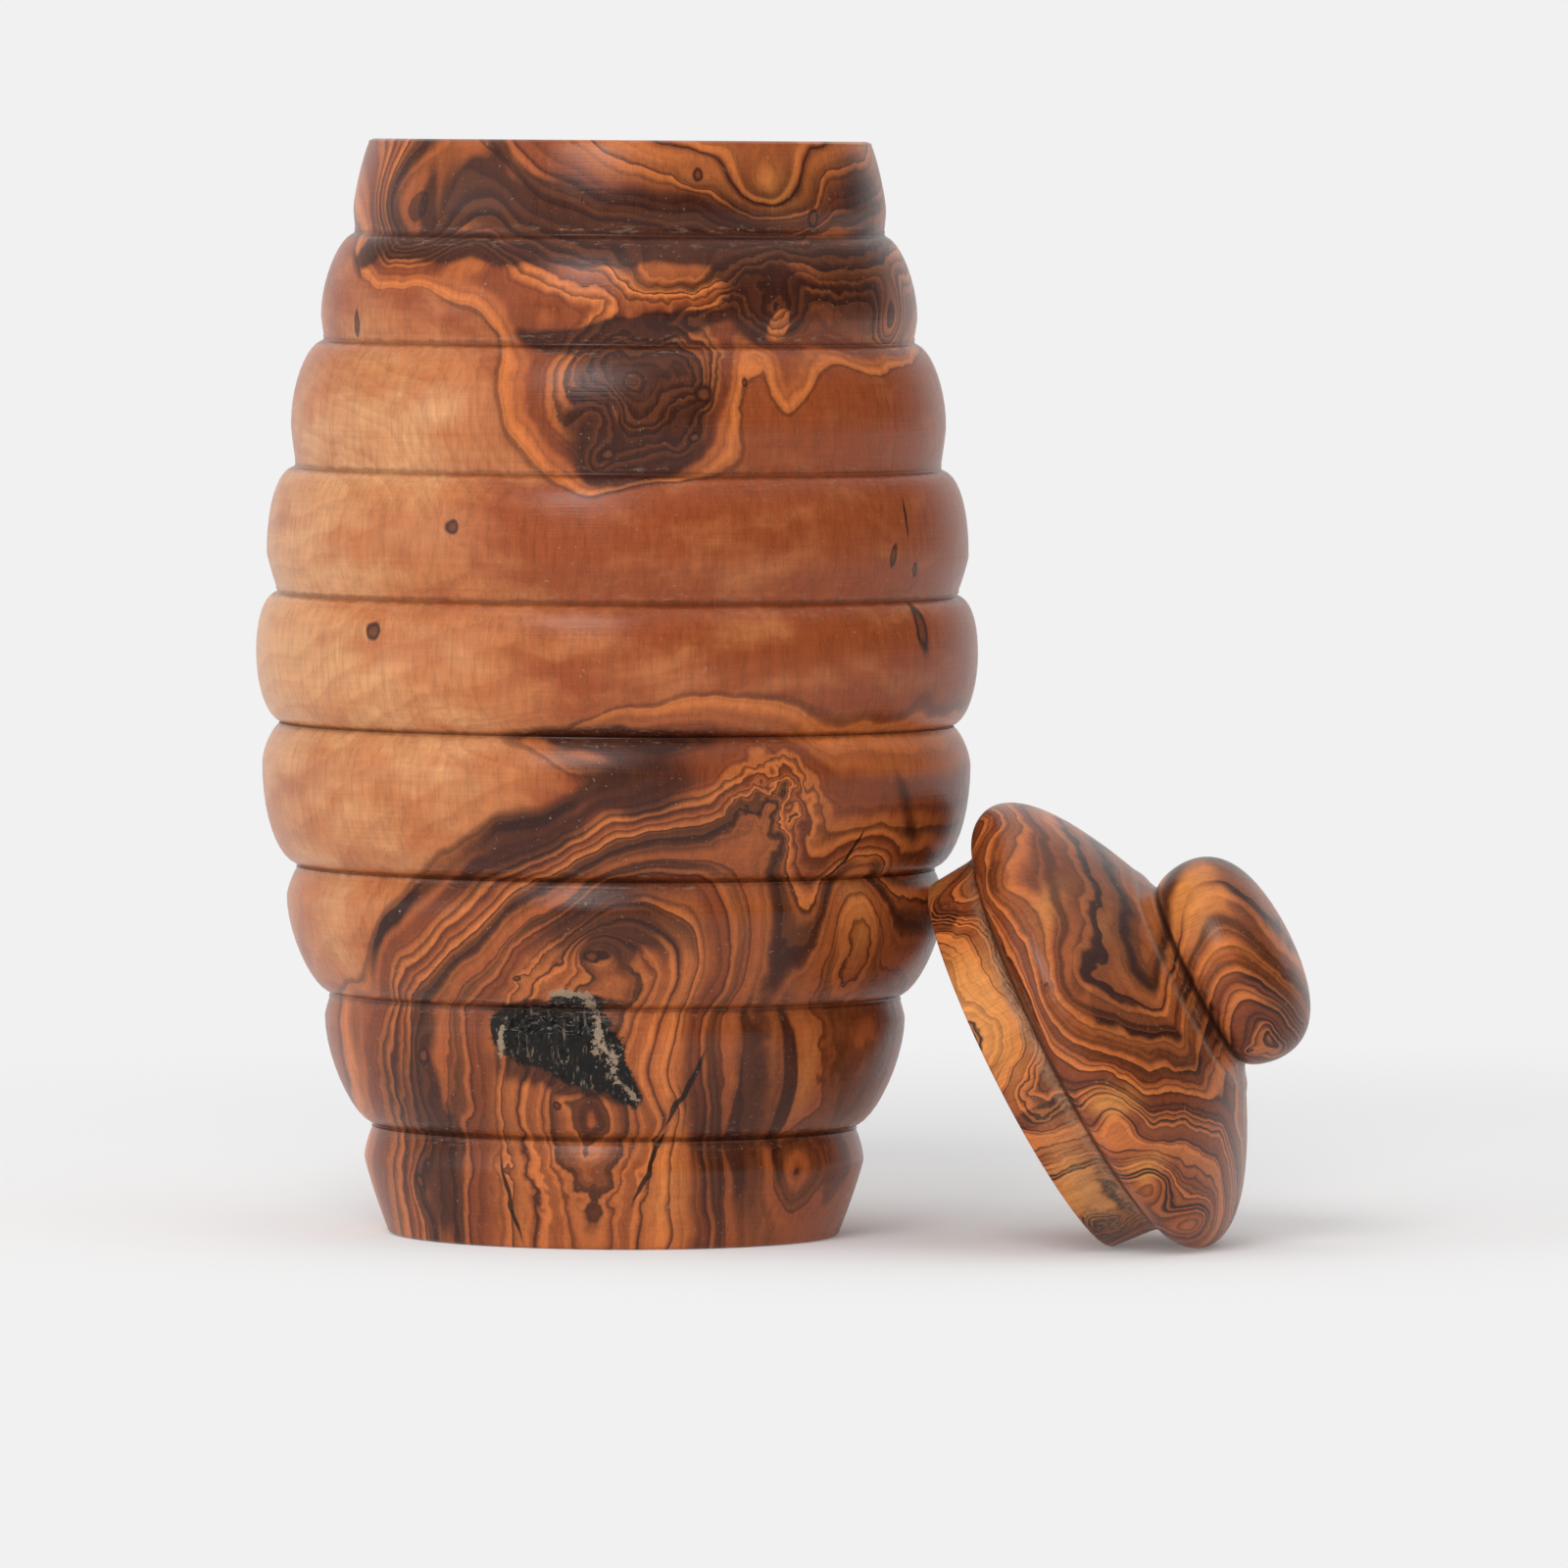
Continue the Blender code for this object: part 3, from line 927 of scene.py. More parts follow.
def heartwood(tree, side, moved, look, growth, lines):
    """Orange to red wood with dark bands and lines along the growth."""
    colour = blend(tree, fade(tree, lines["Tone"], *TONE_FADE), HEART_RED, HEART_ORANGE)
    gold = times(tree, total_of(tree, side, moved, look["gold"]), 1.0, clamp=True)
    lined = fade(tree, gold, *LINES_IN_GOLD)
    colour = blend(tree, gold, colour, HEART_GOLD)
    soft = times(tree, times(tree, lines["Soft"], SOFT_COVER), lined)
    colour = blend(tree, soft, colour, HEART_RED)
    shade = sums(tree, "ADD", total_of(tree, side, moved, look["shade"]), lines["Band"])
    brown = fade(tree, shade, *BROWN_FADE)
    brown_share = fade(tree, lines["Soft"], *IN_LINES, look["between"], BROWN_IN_LINES)
    brown = times(tree, brown, brown_share)
    colour = blend(tree, brown, colour, CHOCOLATE)
    dark = times(tree, times(tree, lines["Line"], LINE_COVER), lined)
    for where, half_width, strength, rows in look["strokes"]:
        near = sums(tree, "ABSOLUTE", sums(tree, "SUBTRACT", growth, where))
        thick = sums(tree, "ADD", total_of(tree, side, moved, rows), strength)
        stroke = fade(tree, near, STROKE_CORE * half_width, half_width, 1.0, 0.0)
        dark = sums(tree, "MAXIMUM", dark, times(tree, stroke, thick))
    return blend(tree, sums(tree, "MINIMUM", dark, 1.0), colour, LINE_DARK)


print("a stroke is darkest over", 100 * STROKE_CORE, "% of its half width")

# %% sapwood
SAP_PATCHES = ((1, 1, 2.2), 9.0, 3.0, 0.5)
PATCH_STRENGTH = 1.1
TAN_FADE = (0.0, 0.5)
PALE_FADE = (0.45, 1.0)
SAP_LINE_COVER = 0.24


def sapwood(tree, side, moved, look, lines):
    """Pale to reddish plain wood with faint lines."""
    patchy = times(tree, swing(tree, grained(tree, moved, *SAP_PATCHES)), PATCH_STRENGTH)
    pale = sums(tree, "ADD", total_of(tree, side, moved, look["pale"]), patchy)
    colour = blend(tree, fade(tree, pale, *TAN_FADE), SAP_RED, SAP_TAN)
    colour = blend(tree, fade(tree, pale, *PALE_FADE), colour, SAP_PALE)
    return stain(tree, lines["Soft"], SAP_LINE_COVER, colour, SAP_RED)


print("sapwood patches are about", SAP_PATCHES[1], "mm wide")

# %% [markdown]
# Over the wood lie, in this order, what grew in it, what turning and use left on it, and
# painted light: knots, cracks and bark, then dry places that took no oil, painted shade in
# the bottom of each groove, torn fibres, and the pale line along the lid's crest, which is
# partly pale fibres and partly a painted highlight.

# %% marks over the wood
KNOT_COVER = 0.92
KNOT_HEART_COVER = 0.6
CRACK_COVER = 0.9
CRUST_COVER = 0.85
TORN_COVER = 0.3
DRY_GRIT = (0.5, 3.0, 0.7)
DRY_FADE = (0.35, 0.65, 0.3, 1.0)
# the crest's pale line: partly pale fibres, partly a painted highlight on the ridge
CREST_HIGHLIGHT_FADE = (0.05, 0.4, 0.5, 0.0)


def grown_in(tree, side, point, ragged, look, colour):
    """Knots, cracks and the pocket of bark."""
    dark, knot_heart = darkest_knot(tree, side, ragged, look["knots"])
    colour = stain(tree, dark, KNOT_COVER, colour, LINE_DARK)
    colour = stain(tree, knot_heart, KNOT_HEART_COVER, colour, KNOT_RED)
    crack = darkest_knot(tree, side, ragged, look["cracks"])[0]
    colour = stain(tree, crack, CRACK_COVER, colour, BARK_BLACK)
    bark = use(tree, BARK, Vector=point, Inside=total_of(tree, side, ragged, look["bark"]),
               Edge=total_of(tree, side, ragged, look["crust"]))
    colour = blend(tree, bark["Mask"], colour, BARK_BLACK)
    return stain(tree, bark["Crust"], CRUST_COVER, colour, PALE_CRUST_AND_HIGHLIGHT)


def turning_marks_and_painted_light(tree, side, point, ragged, look, fibre, colour):
    """Dry places, painted shade in the grooves, torn fibres, and the crest's pale line, partly a painted
    highlight.
    """
    grit = fade(tree, noise(tree, point, *DRY_GRIT)[0], *DRY_FADE)
    dry = times(tree, total_of(tree, side, ragged, look["dry"]), grit, clamp=True)
    colour = blend(tree, dry, colour, DRY)
    painted_groove_shade, torn, level = groove_marks(tree, point, look["grooves"], look["shake"])
    # painted shade: the bottom of each groove is darkened with the line colour
    colour = stain(tree, painted_groove_shade, look["painted_groove_shade"], colour, LINE_DARK)
    colour = stain(tree, torn, TORN_COVER, colour, PALE_CRUST_AND_HIGHLIGHT)
    # the crest's pale line: pale fibres and a painted highlight along the ridge
    crest_near = sums(tree, "ABSOLUTE", sums(tree, "SUBTRACT", level, look["crest"]))
    crest_highlight_and_fibres = fade(tree, crest_near, *CREST_HIGHLIGHT_FADE)
    return stain(tree, crest_highlight_and_fibres, fibre["Value"], colour, PALE_CRUST_AND_HIGHLIGHT)


print("the crest's line is", 2 * CREST_HIGHLIGHT_FADE[1], "mm wide")

# %% [markdown]
# The finish is put together for each piece. The point is turned into millimetres along the
# piece's own axis and pushed about by the restless grain. Cores and swells give the growth
# there, in millimetres out from the heartwood, and wild rows shake it. Growth runs round
# each knot as well. The nodes are made in the order in which they are used, because Cycles
# works them out so and can hold only so many values at a time.

# %% the olive wood
ROUND_KNOTS = (2.4, -1.8)     # how much wider than a knot its swell is, and the swell's lift
WILD_SIZE = 2.6               # mm
HEART_EDGE = (-1.0, 0.5)      # growth over which heartwood gives way to sapwood
RAGGED = 1.2                  # how far the fine grain pushes the edges of knots and bark
NOISE_SPAN = (0.3, 0.7)       # where most of a noise's values lie
FIBRE_STREAK = (0.84, 1.14)   # how much darker and lighter the fibres are
# painted sheen: the tool rings make the colour this much darker and lighter, as if they caught the light
TOOL_SHEEN_STREAK = (0.95, 1.05)
PORE_COVER = 0.06
ROUGHNESS = (0.25, 0.36)
GLOSS = 0.28
BUMP_STRENGTH = 0.45
BUMP_DEPTH = 0.06             # mm
FIBRE_BUMP = 0.5


def growth_at(tree, side, point, moved, look):
    """Millimetres of growth out from the edge of the heartwood. Inside, it is below 0."""
    spread, lift = ROUND_KNOTS
    rings = [(a, h, lean, spread * w, spread * t, lift) for a, h, lean, w, t in look["knots"]]
    hills = total_of(tree, side, moved, look["swells"] + tuple(rings))
    wild = total_of(tree, side, point, look["wild"])
    growth = sums(tree, "ADD", nearest_core(tree, moved, look["cores"], look["softness"]), hills)
    rough = swing(tree, noise(tree, point, WILD_SIZE)[0])
    return sums(tree, "MULTIPLY_ADD", wild, rough, growth)


def olive_wood(name, side, look, place=(0, 0, 0), turn=(0, 0, 0)):
    """A figured wood from a piece's own cores, swells and stains."""
    material = bpy.data.materials.new(name)
    material.use_nodes = True
    tree = material.node_tree
    shader = tree.nodes["Principled BSDF"]
    metres = tree.nodes.new("ShaderNodeTexCoord").outputs["Object"]
    point = mapped(tree, "TEXTURE", metres, place, turn, (MM, MM, MM))
    moved = use(tree, WARP, Vector=point, **look["warp"])[0]
    growth = growth_at(tree, side, point, moved, look)
    lines = use(tree, LINES, Growth=growth, Spacing=look["spacing"])
    fibre = use(tree, FIBRE, Vector=point)
    heart = fade(tree, growth, *HEART_EDGE, 1.0, 0.0)
    colour = blend(tree, heart, sapwood(tree, side, moved, look, lines),
                   heartwood(tree, side, moved, look, growth, lines))
    ragged = use(tree, WARP, Vector=point, Broad=0.0, Middle=0.0, Fine=RAGGED)[0]
    colour = grown_in(tree, side, point, ragged, look, colour)
    colour = turning_marks_and_painted_light(tree, side, point, ragged, look, fibre, colour)
    marks = use(tree, TOOL, Vector=point)["Height"]
    fibre_and_sheen_streak = fade(tree, fibre["Value"], *NOISE_SPAN, *FIBRE_STREAK)
    # the fibres streak the colour, and the tool rings too: a painted sheen along real tool marks
    fibre_and_sheen_streak = times(tree, fibre_and_sheen_streak, fade(tree, marks, *NOISE_SPAN, *TOOL_SHEEN_STREAK))
    colour = blend(tree, 1.0, colour, fibre_and_sheen_streak, "MULTIPLY")
    colour = stain(tree, fibre["Pores"], PORE_COVER, colour, LINE_DARK)
    plug(tree, shader.inputs["Base Color"], colour)
    plug(tree, shader.inputs["Roughness"], fade(tree, fibre["Value"], *NOISE_SPAN, *ROUGHNESS))
    shader.inputs["Specular IOR Level"].default_value = GLOSS
    bump = tree.nodes.new("ShaderNodeBump")
    bump.inputs["Strength"].default_value = BUMP_STRENGTH
    bump.inputs["Distance"].default_value = BUMP_DEPTH * MM
    plug(tree, bump.inputs["Height"], sums(tree, "MULTIPLY_ADD", fibre["Value"], FIBRE_BUMP, marks))
    plug(tree, shader.inputs["Normal"], bump.outputs[0])
    print(name, "has", len(tree.nodes), "nodes")
    return material


# %% [markdown]
# The jar's figure. A core's row is its place in millimetres, its turn in degrees, its half
# width, depth and height, its slant, open and reach. Two arches of heartwood stand in the
# foot: a steep one in front, and a wide one behind its right side. Another core comes down
# from the mouth, with a tongue that hangs into the third ring. A swell's row is around,
# height, lean, half width, half height and lift: a lift above 0 moves the lines towards the
# heart, and one below 0 away from it. Wild rows say where the lines are shaken.

# %% the jar's growth
JAR_CORES = (
    ((-3, -30, 28), 0, (32, 60, 33), 0.5, 1, 28),
    ((33, -20, 28), 0, (62, 80, 36), 0.22, 1, 16),
    ((18, -24, 137), 40, (75, 60, 33), 0, 0, 30),
    ((2, -38, 102), 0, (16.5, 25, 15), 0, 0, 15),
)
JAR_SWELLS = (
    (11, 44, 0, 13, 9, -3),
    (10, 64, 0, 15, 6, -3),
    (-12, 60.5, 0, 15, 3.0, -4.5),
    (8, 62, 0, 12, 4, -2.0),
    (0, 32, 0, 9, 8, -5),
    (26, 53.4, 0, 6, 6, -5),
    (-4, 35.2, 0, 2.8, 2.2, -4),
    (48, 39, 0, 5, 8, -5),
    (46, 9, 0, 4, 5, -2.5),
    (-51, 120, 0, 8, 7, -8),
    (34, 123.3, 0, 6, 5, -6),
    (30, 108.5, 0, 4, 3.5, -5),
    (65, 109, 0, 4, 4, -5),
    (10, 114, 0, 6, 4, -4),
    (23, 100, 0, 3, 5, 4),
    (-30, 116, 0, 5, 2, 3),
    (-42, 109, 0, 8, 4, 2.0),
    (-20, 108, 0, 3, 3, -2.5),
    (5, 84.5, 0, 15, 4.4, 9),
    (32, 101, 0, 4.5, 4, -5),
    (-3, 99, 0, 3, 4, 4),
    (12, 104, 0, 3, 3, -3),
    (58, 105.5, 0, 14, 3.5, -4),
    (-51, 34, 27, 4, 9, 2.0),
    (-7, 15, 0, 9, 6, -4),
)
JAR_WILD = (
    (26, 53.4, 0, 6, 6, 9.0),
    (-6, 33, 0, 9, 5, 5.0),
    (8, 100, 0, 16, 9, 3.0),
    (-7, 9, 0, 9, 5, 6.0),
    (50, 30, 0, 16, 22, 1.5),
    (-45, 16, 0, 16, 14, 1.5),
    (20, 112, 0, 22, 6, 3.0),
)
print("the jar grows from", len(JAR_CORES), "cores and", len(JAR_SWELLS), "swells")

# %% [markdown]
# The stains have rows like the swells'. The left side of the belly is pale sapwood. Gold
# lies in the eyes of the arches, and the same places take away from the shade. The dark
# inclusion, the band under the mouth and the rings round the bark are shade.

# %% the jar's stains
JAR_PALE = (
    (165, 84, 0, 24, 22, 0.6),
    (120, 60, 0, 14, 14, 0.3),
    (-58, 37, 0, 10, 9, 0.4),
    (-72, 72, 0, 30, 34, 1.0),
    (-30, 56, 30, 12, 14, 0.45),
    (-40, 98, 0, 18, 10, 0.45),
    (5, 70, 0, 25, 14, 0.2),
)
JAR_GOLD = (
    (48, 39, 0, 2.5, 6, 0.5),
    (43, 21, 0, 1.8, 6, 0.4),
    (14, 7, 0, 2.6, 7, 0.3),
    (30.5, 108.0, 20, 1.6, 1.8, 0.3),
    (29, 115.3, 0, 1.6, 1.6, 0.4),
    (36, 123.7, 0, 3, 3, 0.5),
)
JAR_SHADE = (
    (-6, 121.5, 8, 15, 3.6, 0.5),
    (-29, 126, -60, 3.5, 2.2, 0.35),
    (-3, 113, 0, 10, 3.5, -0.1),
    (27, 111.6, 0, 4, 4, 0.4),
    (0, 38, 0, 9, 4, 0.25),
    (-48, 14, 0, 5, 12, 0.12),
    (24, 12, 0, 6, 12, 0.12),
    (-44, 122, 0, 1.3, 4, 0.35),
    (-30, 117, 0, 14, 1.4, 0.35),
    (15, 117.4, 0, 14, 1.4, 0.3),
    (0, 108.2, -5, 11, 1.2, 0.7),
    (30, 109.5, 0, 3.8, 3.3, 0.6),
    (30.5, 108.0, 20, 1.6, 1.8, -1.3),
    (-63, 115.9, 0, 3, 1.6, 0.45),
    (4, 98.5, 0, 7, 9, 0.7),
    (30, 122, 0, 20, 6, 0.14),
    (-50, 120, 0, 12, 5, 0.14),
    (52, 112, 0, 12, 5, 0.2),
    (0, 16, 0, 40, 18, 0.06),
    (-48, 112.5, 0, 7, 1.6, -0.3),
    (66, 122, 0, 5, 6, 0.2),
    (5, 46, -25, 12, 4, 0.12),
    (0, 98.4, -12, 1.6, 2.8, -0.45),
    (9, 95.6, 0, 1.2, 1.8, -0.4),
    (-15, 49.5, -32, 13, 2.8, 0.3),
    (-8, 61.5, 4, 15, 1.4, 0.5),
    (3, 56, 0, 5.5, 3.5, 0.35),
    (55, 53, -32, 1.2, 7, 0.15),
    (-9, 20.5, 10, 7, 2.0, 0.6),
    (-12, 28.5, 0, 6, 1.0, 0.8),
    (39, 19, -8, 1.0, 8, 0.6),
    (28, 18, -4, 0.8, 9, 0.5),
    (-42, 14, 4, 2.0, 12, 0.45),
    (1, 38, 0, 3, 3, 0.4),
    (14, 7, 0, 2.6, 7, -0.4),
    (10, 23, 0, 2.2, 5, -0.4),
    (43, 21, 0, 1.8, 6, -0.4),
    (48, 39, 0, 2.5, 6, -0.4),
)
print("pale", len(JAR_PALE), "gold", len(JAR_GOLD), "shade", len(JAR_SHADE), "rows")

# %% [markdown]
# Two strokes draw the edge of the jar's heartwood: a thin one everywhere, and a wide dark
# one where the arch meets the sapwood.

# %% the jar's strokes
JAR_RIM = (
    (-17, 50, -32, 14, 6, 0.7),
    (-45, 36, 27, 6, 10, 0.7),
    (5, 92, 0, 12, 4, 0.4),
)
JAR_BAND = (
    (-14, 51, -32, 16, 4.5, 1.1),
    (-43, 37, 27, 5, 9, 1.2),
    (-61, 24, 0, 3, 6, 0.9),
    (-2, 61, 0, 20, 3, 0.5),
)
JAR_STROKES = ((-0.7, 0.9, 0.08, JAR_RIM), (-1.6, 1.8, 0.0, JAR_BAND))
print("the strokes are", [2 * half_width for where, half_width, strength, rows in JAR_STROKES], "mm wide")

# %% [markdown]
# Knots and cracks have rows without a lift. Twigs left small eyes all over, and drying
# opened a few fine cracks. Bark is a few spots that overlap, and its crust thin ones along
# its edge.

# %% the jar's knots, cracks and bark
JAR_KNOTS = (
    (17, 126, 0, 0.7, 0.7),
    (46, 121, 0, 0.9, 1.2),
    (-61, 108.2, 0, 0.7, 1.8),
    (15, 100.6, 0, 1.3, 1.3),
    (13, 95.6, 0, 0.8, 0.8),
    (-2, 93.5, 0, 0.8, 0.8),
    (23, 102, 0, 0.4, 0.5),
    (-28, 85, 0, 0.9, 0.9),
    (-42, 72.8, 0, 1.1, 1.1),
    (57, 73.2, -10, 1.1, 3.4),
    (51, 81.8, 10, 0.5, 1.6),
    (57, 79.9, -20, 0.5, 1.2),
    (-4, 35.2, 0, 1.1, 0.8),
    (-18, 32.3, 0, 0.4, 0.4),
    (-41, 22.5, 0, 0.8, 1.1),
    (-12, 17.3, 0, 0.6, 0.6),
    (-51, 7.3, 0, 0.9, 1.3),
    (140, 88, 0, 0.9, 1.2),
    (-160, 60, 10, 0.8, 1.8),
)
JAR_CRACKS = (
    (14.5, 19, 24, 0.35, 5.4),
    (-25, 6, -10, 0.3, 5.4),
    (8, 10, 22, 0.25, 5),
    (42, 46.5, 28, 0.3, 3.8),
    (55, 86, 0, 0.2, 2.6),
)
JAR_BARK = (
    (-20.5, 27.0, 0, 2.0, 1.6, 1.0),
    (-12, 27.4, 0, 6, 1.0, 0.5),
    (-16.5, 25.4, 0, 4.2, 3.0, 0.8),
    (-9, 24.6, 0, 4.4, 3.6, 0.8),
    (-4, 22.3, 0, 3.2, 3.6, 0.7),
    (1.5, 19.8, -35, 1.5, 3.4, 0.7),
    (-7, 29.4, 0, 3.0, 1.3, 0.7),
)
JAR_CRUST = (
    (-22.5, 25.0, 8, 0.5, 2.6, 0.8),
    (-9, 30.6, 0, 2.4, 0.7, 0.9),
    (-5, 29.5, -20, 0.8, 1.6, 0.8),
    (-3.5, 25.5, 0, 0.7, 3.0, 0.9),
    (-0.5, 22.5, -15, 0.8, 2.4, 0.8),
    (3.5, 18.6, -35, 0.5, 2.4, 0.8),
)
print(len(JAR_KNOTS), "knots and", len(JAR_CRACKS), "cracks")

# %% the jar's finish
NO_CREST = -100.0             # mm: a height that no point of the jar has

JAR_LOOK = {
    "warp": {"Broad": 5.0, "Middle": 2.8, "Fine": 0.6},
    "cores": JAR_CORES, "softness": 3.0, "swells": JAR_SWELLS, "wild": JAR_WILD,
    "spacing": 1.2, "between": 0.88,
    "pale": JAR_PALE, "gold": JAR_GOLD, "shade": JAR_SHADE, "strokes": JAR_STROKES,
    "knots": JAR_KNOTS, "cracks": JAR_CRACKS, "bark": JAR_BARK, "crust": JAR_CRUST,
    # painted shade: how strongly the bottoms of the grooves are darkened is given on the next line
    "grooves": [groove.z for groove in jar_side()[1][:-1]], "shake": 0.7, "painted_groove_shade": 0.45,
    "crest": NO_CREST, "dry": (),
}
jar_outer = jar_side()[0][::-1]
jar.data.materials.append(olive_wood("jar_olive", jar_outer, JAR_LOOK))

# %% [markdown]
# The lid was turned across the same tree. Its growth rises along its axis, so the lines run
# round the dome, and a hill on the lower side draws them down there. The knob has a core of
# its own. The heights are measured from the flange's underside, and the angle runs from the
# front towards the ground.

# %% the lid's growth
LID_CORES = (
    ((0, 0, -172), 0, (200, 200, 200), 0, 0, 200),
    ((10, -8, 22), 0, (57, 117, 20), 0, 0, 25),
)
LID_SWELLS = (
    (60, 9, 0, 17, 17, -14),
    (-17, 8, 0, 4, 4, 1.2),
    (-51, 11, 0, 10, 6, -1.6),
    (-72, 3, 0, 5, 4, -3),
    (-44, 3, 0, 4, 4, 2),
    (-10, 4.5, 0, 5, 5, 1.5),
    (45, 3, 0, 16, 7, -6),
    (20, 4.2, 0, 4, 2.6, -4),
    (40, 3.8, 0, 4, 2.6, -4),
    (65, 4.4, 0, 4, 2.6, -4),
    (-62, -5, 0, 5, 7, 5),
    (-38, -6, 0, 4, 6, -3),
    (-13, -6, 0, 6, 6, -6),
    (10, -5, 0, 5, 6, 4),
    (42, -5, 0, 5, 6, -4),
    (62, -5, 0, 4, 4, -4),
)
LID_WILD = (
    (-35, -5, 0, 12, 5, 3.0),
    (20, -5, 0, 14, 5, 3.0),
    (62, -5, 0, 5, 5, 5.0),
)
print("the lid grows from", len(LID_CORES), "cores and", len(LID_SWELLS), "swells")

# %% [markdown]
# The spigot is the lid's palest part, golden between dark scribbles. Under the flange, where
# no oil came, it is dry. The knob's top-left is painted golden and less brown, a painted
# highlight where the light falls on it.

# %% the lid's stains and knots
LID_GOLD = (
    (48, -4.4, 0, 5, 2.6, 0.6),
    (-83, -5.9, 0, 6, 2.5, 0.8),
    (-20, -6, 0, 8, 4, 1.5),
    (42, -4.6, 0, 7, 3, 1.0),
    (18, 4.6, 27, 1.6, 3.0, 1.2),
    (37, 3.8, 27, 2.0, 2.6, 1.0),
    (-36, 8, 27, 5, 1.2, 0.7),
    (-29, 11.6, 27, 3, 1.0, 0.5),
    # painted highlight: the knob's top-left, where the light falls, is made golden
    (-50, 20, 0, 8, 4, 0.8),
)
LID_SHADE = (
    # painted highlight: the knob's top-left, where the light falls, is made less brown
    (-50, 20, 0, 9, 4, -0.5),
    (-50, 12, 0, 16, 2.4, 0.25),
    (10, 9, 0, 24, 7, 0.07),
    (-47, 3.4, 0, 2.2, 1.2, 0.5),
    (-50, 11.3, 27, 4, 0.9, 0.5),
    (-21, 9.1, 27, 5, 0.9, 0.6),
    (-5, 8.4, 15, 4, 1.1, 0.5),
    (5, 10.3, -15, 4, 1.1, 0.6),
    (18, 12.3, -20, 5, 1.2, 0.6),
    (60, 25, 0, 10, 3, 0.4),
    (-60, 25, 0, 10, 3, 0.3),
    (15, 16.8, 0, 12, 1.2, 0.35),
    (-55, -5.2, 0, 2.4, 1.2, 0.9),
    (-18, -0.4, 0, 8, 0.9, 0.7),
    (15, -3.5, 0, 0.9, 4, 0.9),
    (64, -5.7, 0, 4, 2.2, 0.8),
    (52, -1.5, 0, 6, 1.4, 0.4),
)
LID_DRY = (
    (0, -1.0, 0, 40, 0.9, 0.6),
    (45, -3.6, 0, 12, 2.2, 0.5),
)
LID_KNOTS = (
    (56, 19, 0, 0.5, 0.5),
    (62, -5.8, 0, 1.0, 0.8),
    (-14, 4, 0, 0.3, 0.3),
)
LID_STROKES = ((-14.6, 1.1, 0.9, ()), (-18.4, 0.6, 0.8, ()), (-21.5, 0.5, 0.6, ()))
print("gold", len(LID_GOLD), "shade", len(LID_SHADE), "rows")

# %% the lid's finish
# the crest's pale line runs at this height: partly pale fibres, partly a painted highlight
CREST_LINE = 15.35            # mm over the flange's underside
SPIGOT_SIDE = 22.0            # under the flange, points further out than this are the spigot's side
# grooves at the flange's underside and at the neck: the dark line at the first is a painted shadow under
# the flange's overhang, at the second painted shade in the neck
LID_GROOVES = (0.0, FLANGE_HEIGHT + DOME_HEIGHT + NECK_HEIGHT)

LID_LOOK = {
    "warp": {"Broad": 3.0, "Middle": 1.7, "Fine": 0.6},
    "cores": LID_CORES, "softness": 2.0, "swells": LID_SWELLS, "wild": LID_WILD,
    "spacing": 0.9, "between": 0.5,
    "pale": (), "gold": LID_GOLD, "shade": LID_SHADE, "strokes": LID_STROKES,
    "knots": LID_KNOTS, "cracks": (), "bark": (), "crust": (),
    # painted shade: how strongly the bottoms of the grooves are darkened is given on the next line
    "grooves": LID_GROOVES, "shake": 0.15, "painted_groove_shade": 0.85,
    "crest": CREST_LINE, "dry": LID_DRY,
}
lid_outer = [point for point in lid_outline() if point.z > 0.0 or point.x > SPIGOT_SIDE]
lid_olive = olive_wood("lid_olive", lid_outer, LID_LOOK, lid_turn.translation, lid_turn.to_euler())
lid.data.materials.append(lid_olive)

# %% [markdown]
# The set is a pale floor under soft light. Only the floor near the pot takes shadows. Away
# from the shadow it turns into a plain glow as white as the world, so that no horizon shows.

# %% the floor
WHITE = 0.88
FLOOR_PALE = 0.91
SHADOW_PLACE = (0.07, 0.12, 0.0)
FLOOR_FADE = (0.09, 0.27)     # metres from the middle of the shadow
STAGE_RADIUS = 40.0           # metres


def make_floor():
    shape = bmesh.new()
    bmesh.ops.create_circle(shape, cap_ends=True, segments=96, radius=STAGE_RADIUS)
    mesh = bpy.data.meshes.new("floor")
    shape.to_mesh(mesh)
    shape.free()
    floor = bpy.data.objects.new("floor", mesh)
    bpy.context.scene.collection.objects.link(floor)
    paint = bpy.data.materials.new("pale_floor")
    paint.use_nodes = True
    tree = paint.node_tree
    shader = tree.nodes["Principled BSDF"]
    shader.inputs["Base Color"].default_value = (FLOOR_PALE, FLOOR_PALE, FLOOR_PALE, 1)
    shader.inputs["Roughness"].default_value = 1.0
    shader.inputs["Specular IOR Level"].default_value = 0.0
    glow = tree.nodes.new("ShaderNodeEmission")
    glow.inputs["Color"].default_value = (WHITE, WHITE, WHITE, 1)
    mix = tree.nodes.new("ShaderNodeMixShader")
    place = tree.nodes.new("ShaderNodeTexCoord").outputs["Object"]
    far = vectors(tree, "LENGTH", vectors(tree, "SUBTRACT", place, SHADOW_PLACE))
    plug(tree, mix.inputs[0], fade(tree, far, *FLOOR_FADE))
    plug(tree, mix.inputs[1], shader.outputs[0])
    plug(tree, mix.inputs[2], glow.outputs[0])
    plug(tree, tree.nodes["Material Output"].inputs["Surface"], mix.outputs[0])
    mesh.materials.append(paint)


make_floor()
print("the floor takes shadows up to", FLOOR_FADE[1], "m from their middle")

# %% [markdown]
# The world is white behind the pot, so its edges pick up the pale rim that glossy wood has
# against a white sheet, and dim behind the camera, so the dark lines stay dark. It also
# glows from above and from low on the left. A softbox stands in front, high and a little to
# the left, so the shadow falls back and to the right. A card at the left lights that side,
# and a low fill, which the gloss doesn't mirror, opens up the undersides of the rings.

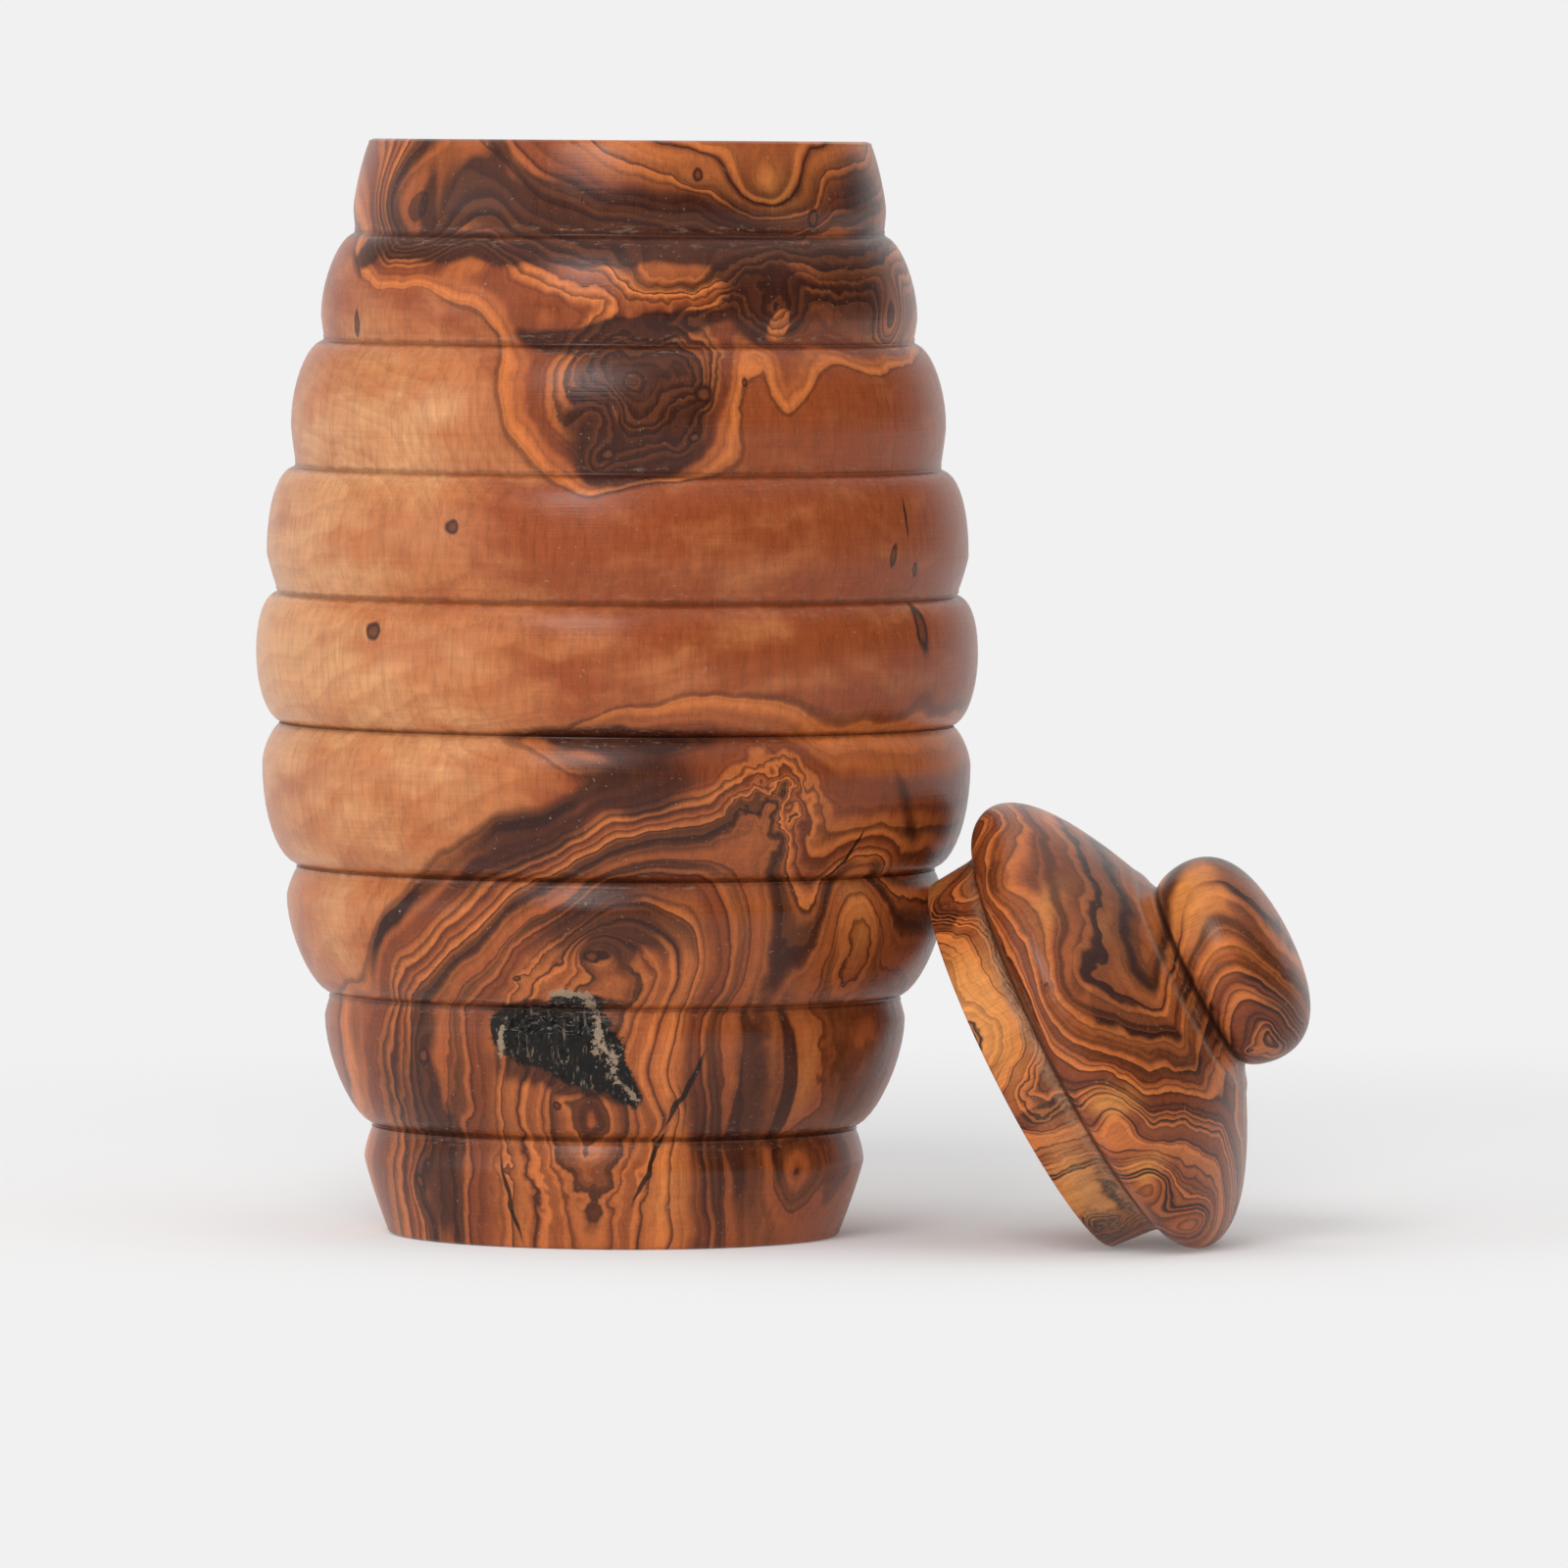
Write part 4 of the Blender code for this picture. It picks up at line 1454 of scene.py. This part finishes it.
# %% the world
FRONT_DIM = 0.05
OVERHEAD = 1.0
LEFT_SIDE = 1.05
BEHIND_FADE = (0.4, 0.88)     # each fade is over a part of the unit direction
ABOVE_FADE = (0.25, 0.95)
LEFT_FADE = (-0.95, -0.3)
LOW_FADE = (0.15, 0.5)


def make_world():
    world = bpy.data.worlds.new("studio")
    world.use_nodes = True
    tree = world.node_tree
    way = parts_of(tree, tree.nodes.new("ShaderNodeTexCoord").outputs["Generated"])
    behind = fade(tree, way["Y"], *BEHIND_FADE, FRONT_DIM, WHITE)
    above = fade(tree, way["Z"], *ABOVE_FADE, 0.0, OVERHEAD)
    left = fade(tree, way["X"], *LEFT_FADE, LEFT_SIDE, 0.0)
    left = times(tree, left, fade(tree, way["Z"], *LOW_FADE, 1.0, 0.0))
    strength = sums(tree, "MAXIMUM", behind, sums(tree, "MAXIMUM", above, left))
    plug(tree, tree.nodes["Background"].inputs["Strength"], strength)
    tree.nodes["Background"].inputs["Color"].default_value = (1, 1, 1, 1)
    bpy.context.scene.world = world


make_world()
print("the world's brightest part is", max(WHITE, OVERHEAD, LEFT_SIDE))

# %% the lights
AIM = Vector((0.0, 0.0, 0.065))


def soft_light(name, around, up, distance, size, power, mirrored=True):
    """A softbox that faces the pot. Around is degrees to the right of the camera's side."""
    turn, rise = math.radians(around), math.radians(up)
    out = Vector((math.sin(turn) * math.cos(rise), -math.cos(turn) * math.cos(rise), math.sin(rise)))
    data = bpy.data.lights.new(name, "AREA")
    data.shape = "SQUARE"
    data.size = size
    data.energy = power
    lamp = bpy.data.objects.new(name, data)
    lamp.location = AIM + out * distance
    lamp.rotation_euler = out.to_track_quat("Z", "Y").to_euler()
    lamp.visible_glossy = mirrored
    bpy.context.scene.collection.objects.link(lamp)
    print(name, "stands at", tuple(round(part, 2) for part in lamp.location))


soft_light("front_softbox", -15, 38, 2.0, 0.7, 12.5)
soft_light("left_card", -62, 13, 1.5, 1.0, 3.0)
soft_light("low_fill", -7, 17, 2.2, 0.9, 10.0, mirrored=False)
bpy.context.scene.view_settings.view_transform = "Standard"
